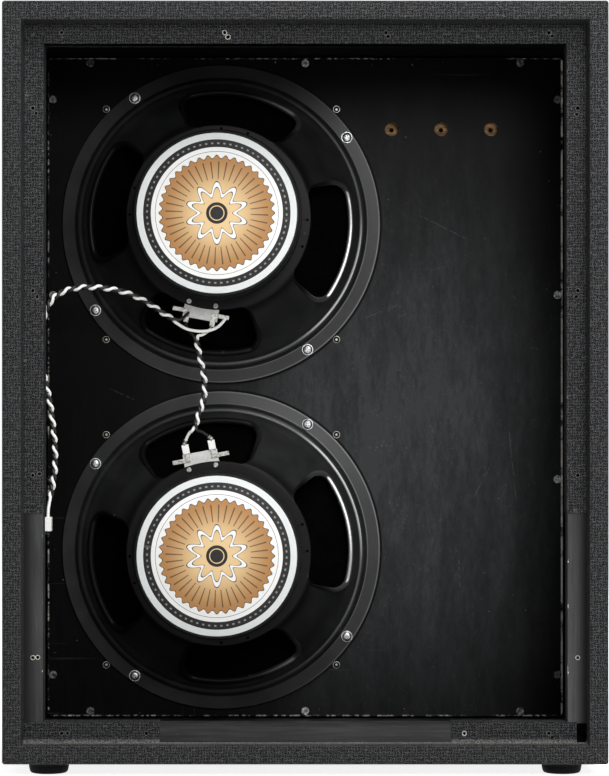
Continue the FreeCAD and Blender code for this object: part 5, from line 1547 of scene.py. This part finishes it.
print("points on the main route:", len(MAIN_ROUTE), "and on the link:", len(LINK_ROUTE))

# %% [markdown]
# A wire follows a smooth line. A NURBS curve through the route gives that line, and a tube is
# built round it from rings of points that don't turn about it, so that it has no kinks.

# %% Tubes along a route
def route_points(points):
    """The smooth line of a route, read from a NURBS curve without thickness."""
    curve = bpy.data.curves.new("route", "CURVE")
    curve.dimensions = "3D"
    curve.resolution_u = 16
    spline = curve.splines.new("NURBS")
    spline.points.add(len(points) - 1)
    for knot, spot in zip(spline.points, points):
        knot.co = (*spot, 1)
    spline.order_u = 3
    spline.use_endpoint_u = True
    item = bpy.data.objects.new("route", curve)
    bpy.context.scene.collection.objects.link(item)
    mesh = bpy.data.meshes.new_from_object(item)
    line = [vertex.co.copy() for vertex in mesh.vertices]
    bpy.data.objects.remove(item)
    bpy.data.meshes.remove(mesh)
    return line


def along_line(line):
    """Distance, direction and a steady side vector at each point of a line."""
    reached = [0.0]
    for a, b in zip(line, line[1:]):
        reached.append(reached[-1] + (b - a).length)
    ways = []
    for index in range(len(line)):
        ways.append((line[min(index + 1, len(line) - 1)] - line[max(index - 1, 0)]).normalized())
    side = ways[0].orthogonal().normalized()
    sides = []
    for way in ways:
        side = (side - way * side.dot(way)).normalized()
        sides.append(side)
    return reached, ways, sides


def tube(line, radius, name, sides=12):
    """A closed round tube that follows a line of points."""
    ways, steady = along_line(line)[1:]
    spots = []
    for middle, way, side in zip(line, ways, steady):
        other = way.cross(side)
        for step in range(sides):
            turn = math.tau * step / sides
            spots.append(middle + (side * math.cos(turn) + other * math.sin(turn)) * radius)
    faces = []
    last = (len(line) - 1) * sides
    for start in range(0, last, sides):
        for step in range(sides):
            a, b = start + step, start + (step + 1) % sides
            faces.append((a, b, b + sides, a + sides))
    faces.append(tuple(range(sides - 1, -1, -1)))
    faces.append(tuple(range(last, last + sides)))
    mesh = bpy.data.meshes.new(name)
    mesh.from_pydata(spots, [], faces)
    item = bpy.data.objects.new(name, mesh)
    bpy.context.scene.collection.objects.link(item)
    tidy_mesh(item, 1e-7)
    smooth(item, 60)
    return item


print("main route is", round(along_line(route_points(MAIN_ROUTE))[0][-1], 4), "long")

# %% [markdown]
# Each strand is the route's line pushed sideways by half a pair, turning left-handed as it
# goes. The number of turns is rounded so that the white strand arrives where its tail waits.

# %% Strands of a twisted pair
WIRE = 0.00148
OFFSET = 0.00155
PITCH = 0.0145


def strand_lines(line, start_side, end_side):
    reached, ways, sides = along_line(line)

    def angle_of(vector, index):
        flat = vector - ways[index] * ways[index].dot(vector)
        other = ways[index].cross(sides[index])
        return math.atan2(flat.dot(other), flat.dot(sides[index]))

    begin = angle_of(start_side, 0)
    finish = angle_of(end_side, -1)
    wanted = -math.tau * reached[-1] / PITCH
    turns = round((wanted - (finish - begin)) / math.tau)
    total = finish - begin + math.tau * turns
    strands = ([], [])
    for spot, far, way, side in zip(line, reached, ways, sides):
        turn = begin + total * far / reached[-1]
        out = side * math.cos(turn) + way.cross(side) * math.sin(turn)
        strands[0].append(spot + out * OFFSET)
        strands[1].append(spot - out * OFFSET)
    return strands


print("one turn every", PITCH, "with wires", 2 * WIRE, "thick")

# %% [markdown]
# The pair is one piece with two finishes, and its four tails are another. Both lie on the
# object at both ends, and the length of the lead is printed.

# %% Twisted pairs
def twisted_pair(name, route, tails, node, tail_node):
    """Two strands on one route; tails[0] and tails[2] are white, each ending by the pair."""
    line = route_points(route)
    start_side = Vector(tails[0][-1]) - Vector(tails[1][-1])
    end_side = Vector(tails[2][-1]) - Vector(tails[3][-1])
    strands = strand_lines(line, start_side, end_side)
    finishes = (white_wire, black_wire)
    halves = [tube(strand, WIRE, name) for strand in strands]
    for half, finish in zip(halves, finishes):
        half.data.materials.append(finish)
    pair = joined(halves)
    dress(pair, name, None, [node])
    singles = []
    for index, tail in enumerate(tails):
        strand = strands[index % 2]
        first, second = strand[:2] if index < 2 else strand[:-3:-1]
        lead = first + (second - first).normalized() * 0.001
        single = tube(route_points([*tail, lead]), WIRE, name)
        single.data.materials.append(finishes[index % 2])
        singles.append(single)
    ends = dress(joined(singles), name + "_tails", None, [tail_node])
    length = along_line(line)[0][-1]
    print(name, "length", round(length, 4))


twisted_pair("main_pair", MAIN_ROUTE, MAIN_TAILS, "main_lead", "main_lead_tails")
twisted_pair("link_pair", LINK_ROUTE, LINK_TAILS, "link_lead", "link_lead_tails")

# %% [markdown]
# Two limp tinsel leads carry the current from each terminal board to the moving cone.

# %% Tinsel leads
FLEX_ROUTES = {
    "upper": [[(-0.08666, 0.0146, 0.41728), (-0.08614, 0.02462, 0.42005), (-0.08524, 0.03235, 0.43231),
               (-0.08388, 0.03636, 0.44831), (-0.08252, 0.04323, 0.46431)],
              [(-0.11124, 0.0146, 0.42184), (-0.11072, 0.02462, 0.42461), (-0.10717, 0.03235, 0.43638),
               (-0.10271, 0.03636, 0.4518), (-0.09825, 0.04323, 0.46723)]],
    "lower": [[(-0.11124, 0.0146, 0.28216), (-0.11072, 0.02462, 0.27939), (-0.10717, 0.03235, 0.26762),
               (-0.10271, 0.03636, 0.2522), (-0.09825, 0.04323, 0.23677)],
              [(-0.08666, 0.0146, 0.28672), (-0.08614, 0.02462, 0.28395), (-0.08524, 0.03235, 0.27169),
               (-0.08388, 0.03636, 0.25569), (-0.08252, 0.04323, 0.23969)]],
}
for name, routes in FLEX_ROUTES.items():
    for index, route in enumerate(routes):
        line = route_points(route)
        flex = tube(line, 0.0008, "flex", sides=8)
        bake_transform(flex)
        dress(flex, "%s_tinsel_%d" % (name, index + 1), tinsel_finish, ["flex_leads"], body=None)
        along_line(line)[0][-1]

# %% [markdown]
# Push-on sleeves join the wires to the lower terminals and to the jack. The solids give the
# sleeve bodies, whose edges are rounded. At the lower terminals a crimped barrel goes round
# the end of each wire.

# %% Sleeves
def barrel(spot, way, length):
    """A crimped barrel: a short turned tube with a waist."""
    profile = [(0.0016, 0.0), (0.0022, 0.0), (0.0023, length * 0.1), (0.0023, length * 0.35),
               (0.0019, length * 0.45), (0.0019, length * 0.7), (0.0023, length * 0.8), (0.0022, length),
               (0.0016, length), (0.0016, 0.0)]
    item = lathe(profile, 24)
    turn = Vector((0, -1, 0)).rotation_difference(way).to_matrix().to_4x4()
    item.data.transform(Matrix.Translation(spot) @ turn)
    smooth(item, 40)
    return item


sleeves = softened("crimp_sleeves", 0.0009, 3)
for finish in (nylon_finish, tin_finish):
    sleeves.data.materials.append(finish)
for face in sleeves.data.polygons:
    face.material_index = 0 if face.center.x < -0.2 else 1
crimps = []
for start, ahead, _ in LINK_TAILS[2:]:
    way = (Vector(ahead) - Vector(start)).normalized()
    crimp = barrel(Vector(start) - way * 0.0016, way, 0.005)
    crimp.data.materials.append(tin_finish)
    crimps.append(crimp)
dress(joined([*crimps, sleeves]), "push_on_sleeves", None, ["crimp_sleeves"])

# %% [markdown]
# The input jack sits in a square steel dish that is let into the left side. The solid already
# has the pressed pan and its holes, so only the edges are eased.

# %% Input jack
dress(softened("jack_dish", 0.0005, 3), "dish", dish_enamel, ["jack_dish"])
dress(softened("jack_socket", 0.0004), "socket", jack_plastic, ["jack_socket"])

# %% [markdown]
# The front is a grille: cloth stretched over a board and tucked behind its edges. A block is
# opened at the back, its edges are rounded, and the skin gets the thickness of the cloth.

# %% Grille cloth
def stretched_cloth():
    low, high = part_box("grille_cloth")
    cloth = block(low, high)
    edit(cloth)
    choose(cloth, "FACE", lambda middle, normal: normal.y < -0.9)
    bpy.ops.mesh.delete(type="FACE")
    deselect()
    modify(cloth, "BEVEL", width=0.0015, segments=4, limit_method="ANGLE", angle_limit=math.radians(40))
    modify(cloth, "SOLIDIFY", thickness=0.0009, offset=-1)
    smooth(cloth, 40)
    unwrap(cloth)
    return cloth


cloth = dress(stretched_cloth(), "stretched_cloth", grille_finish, ["grille_cloth"])
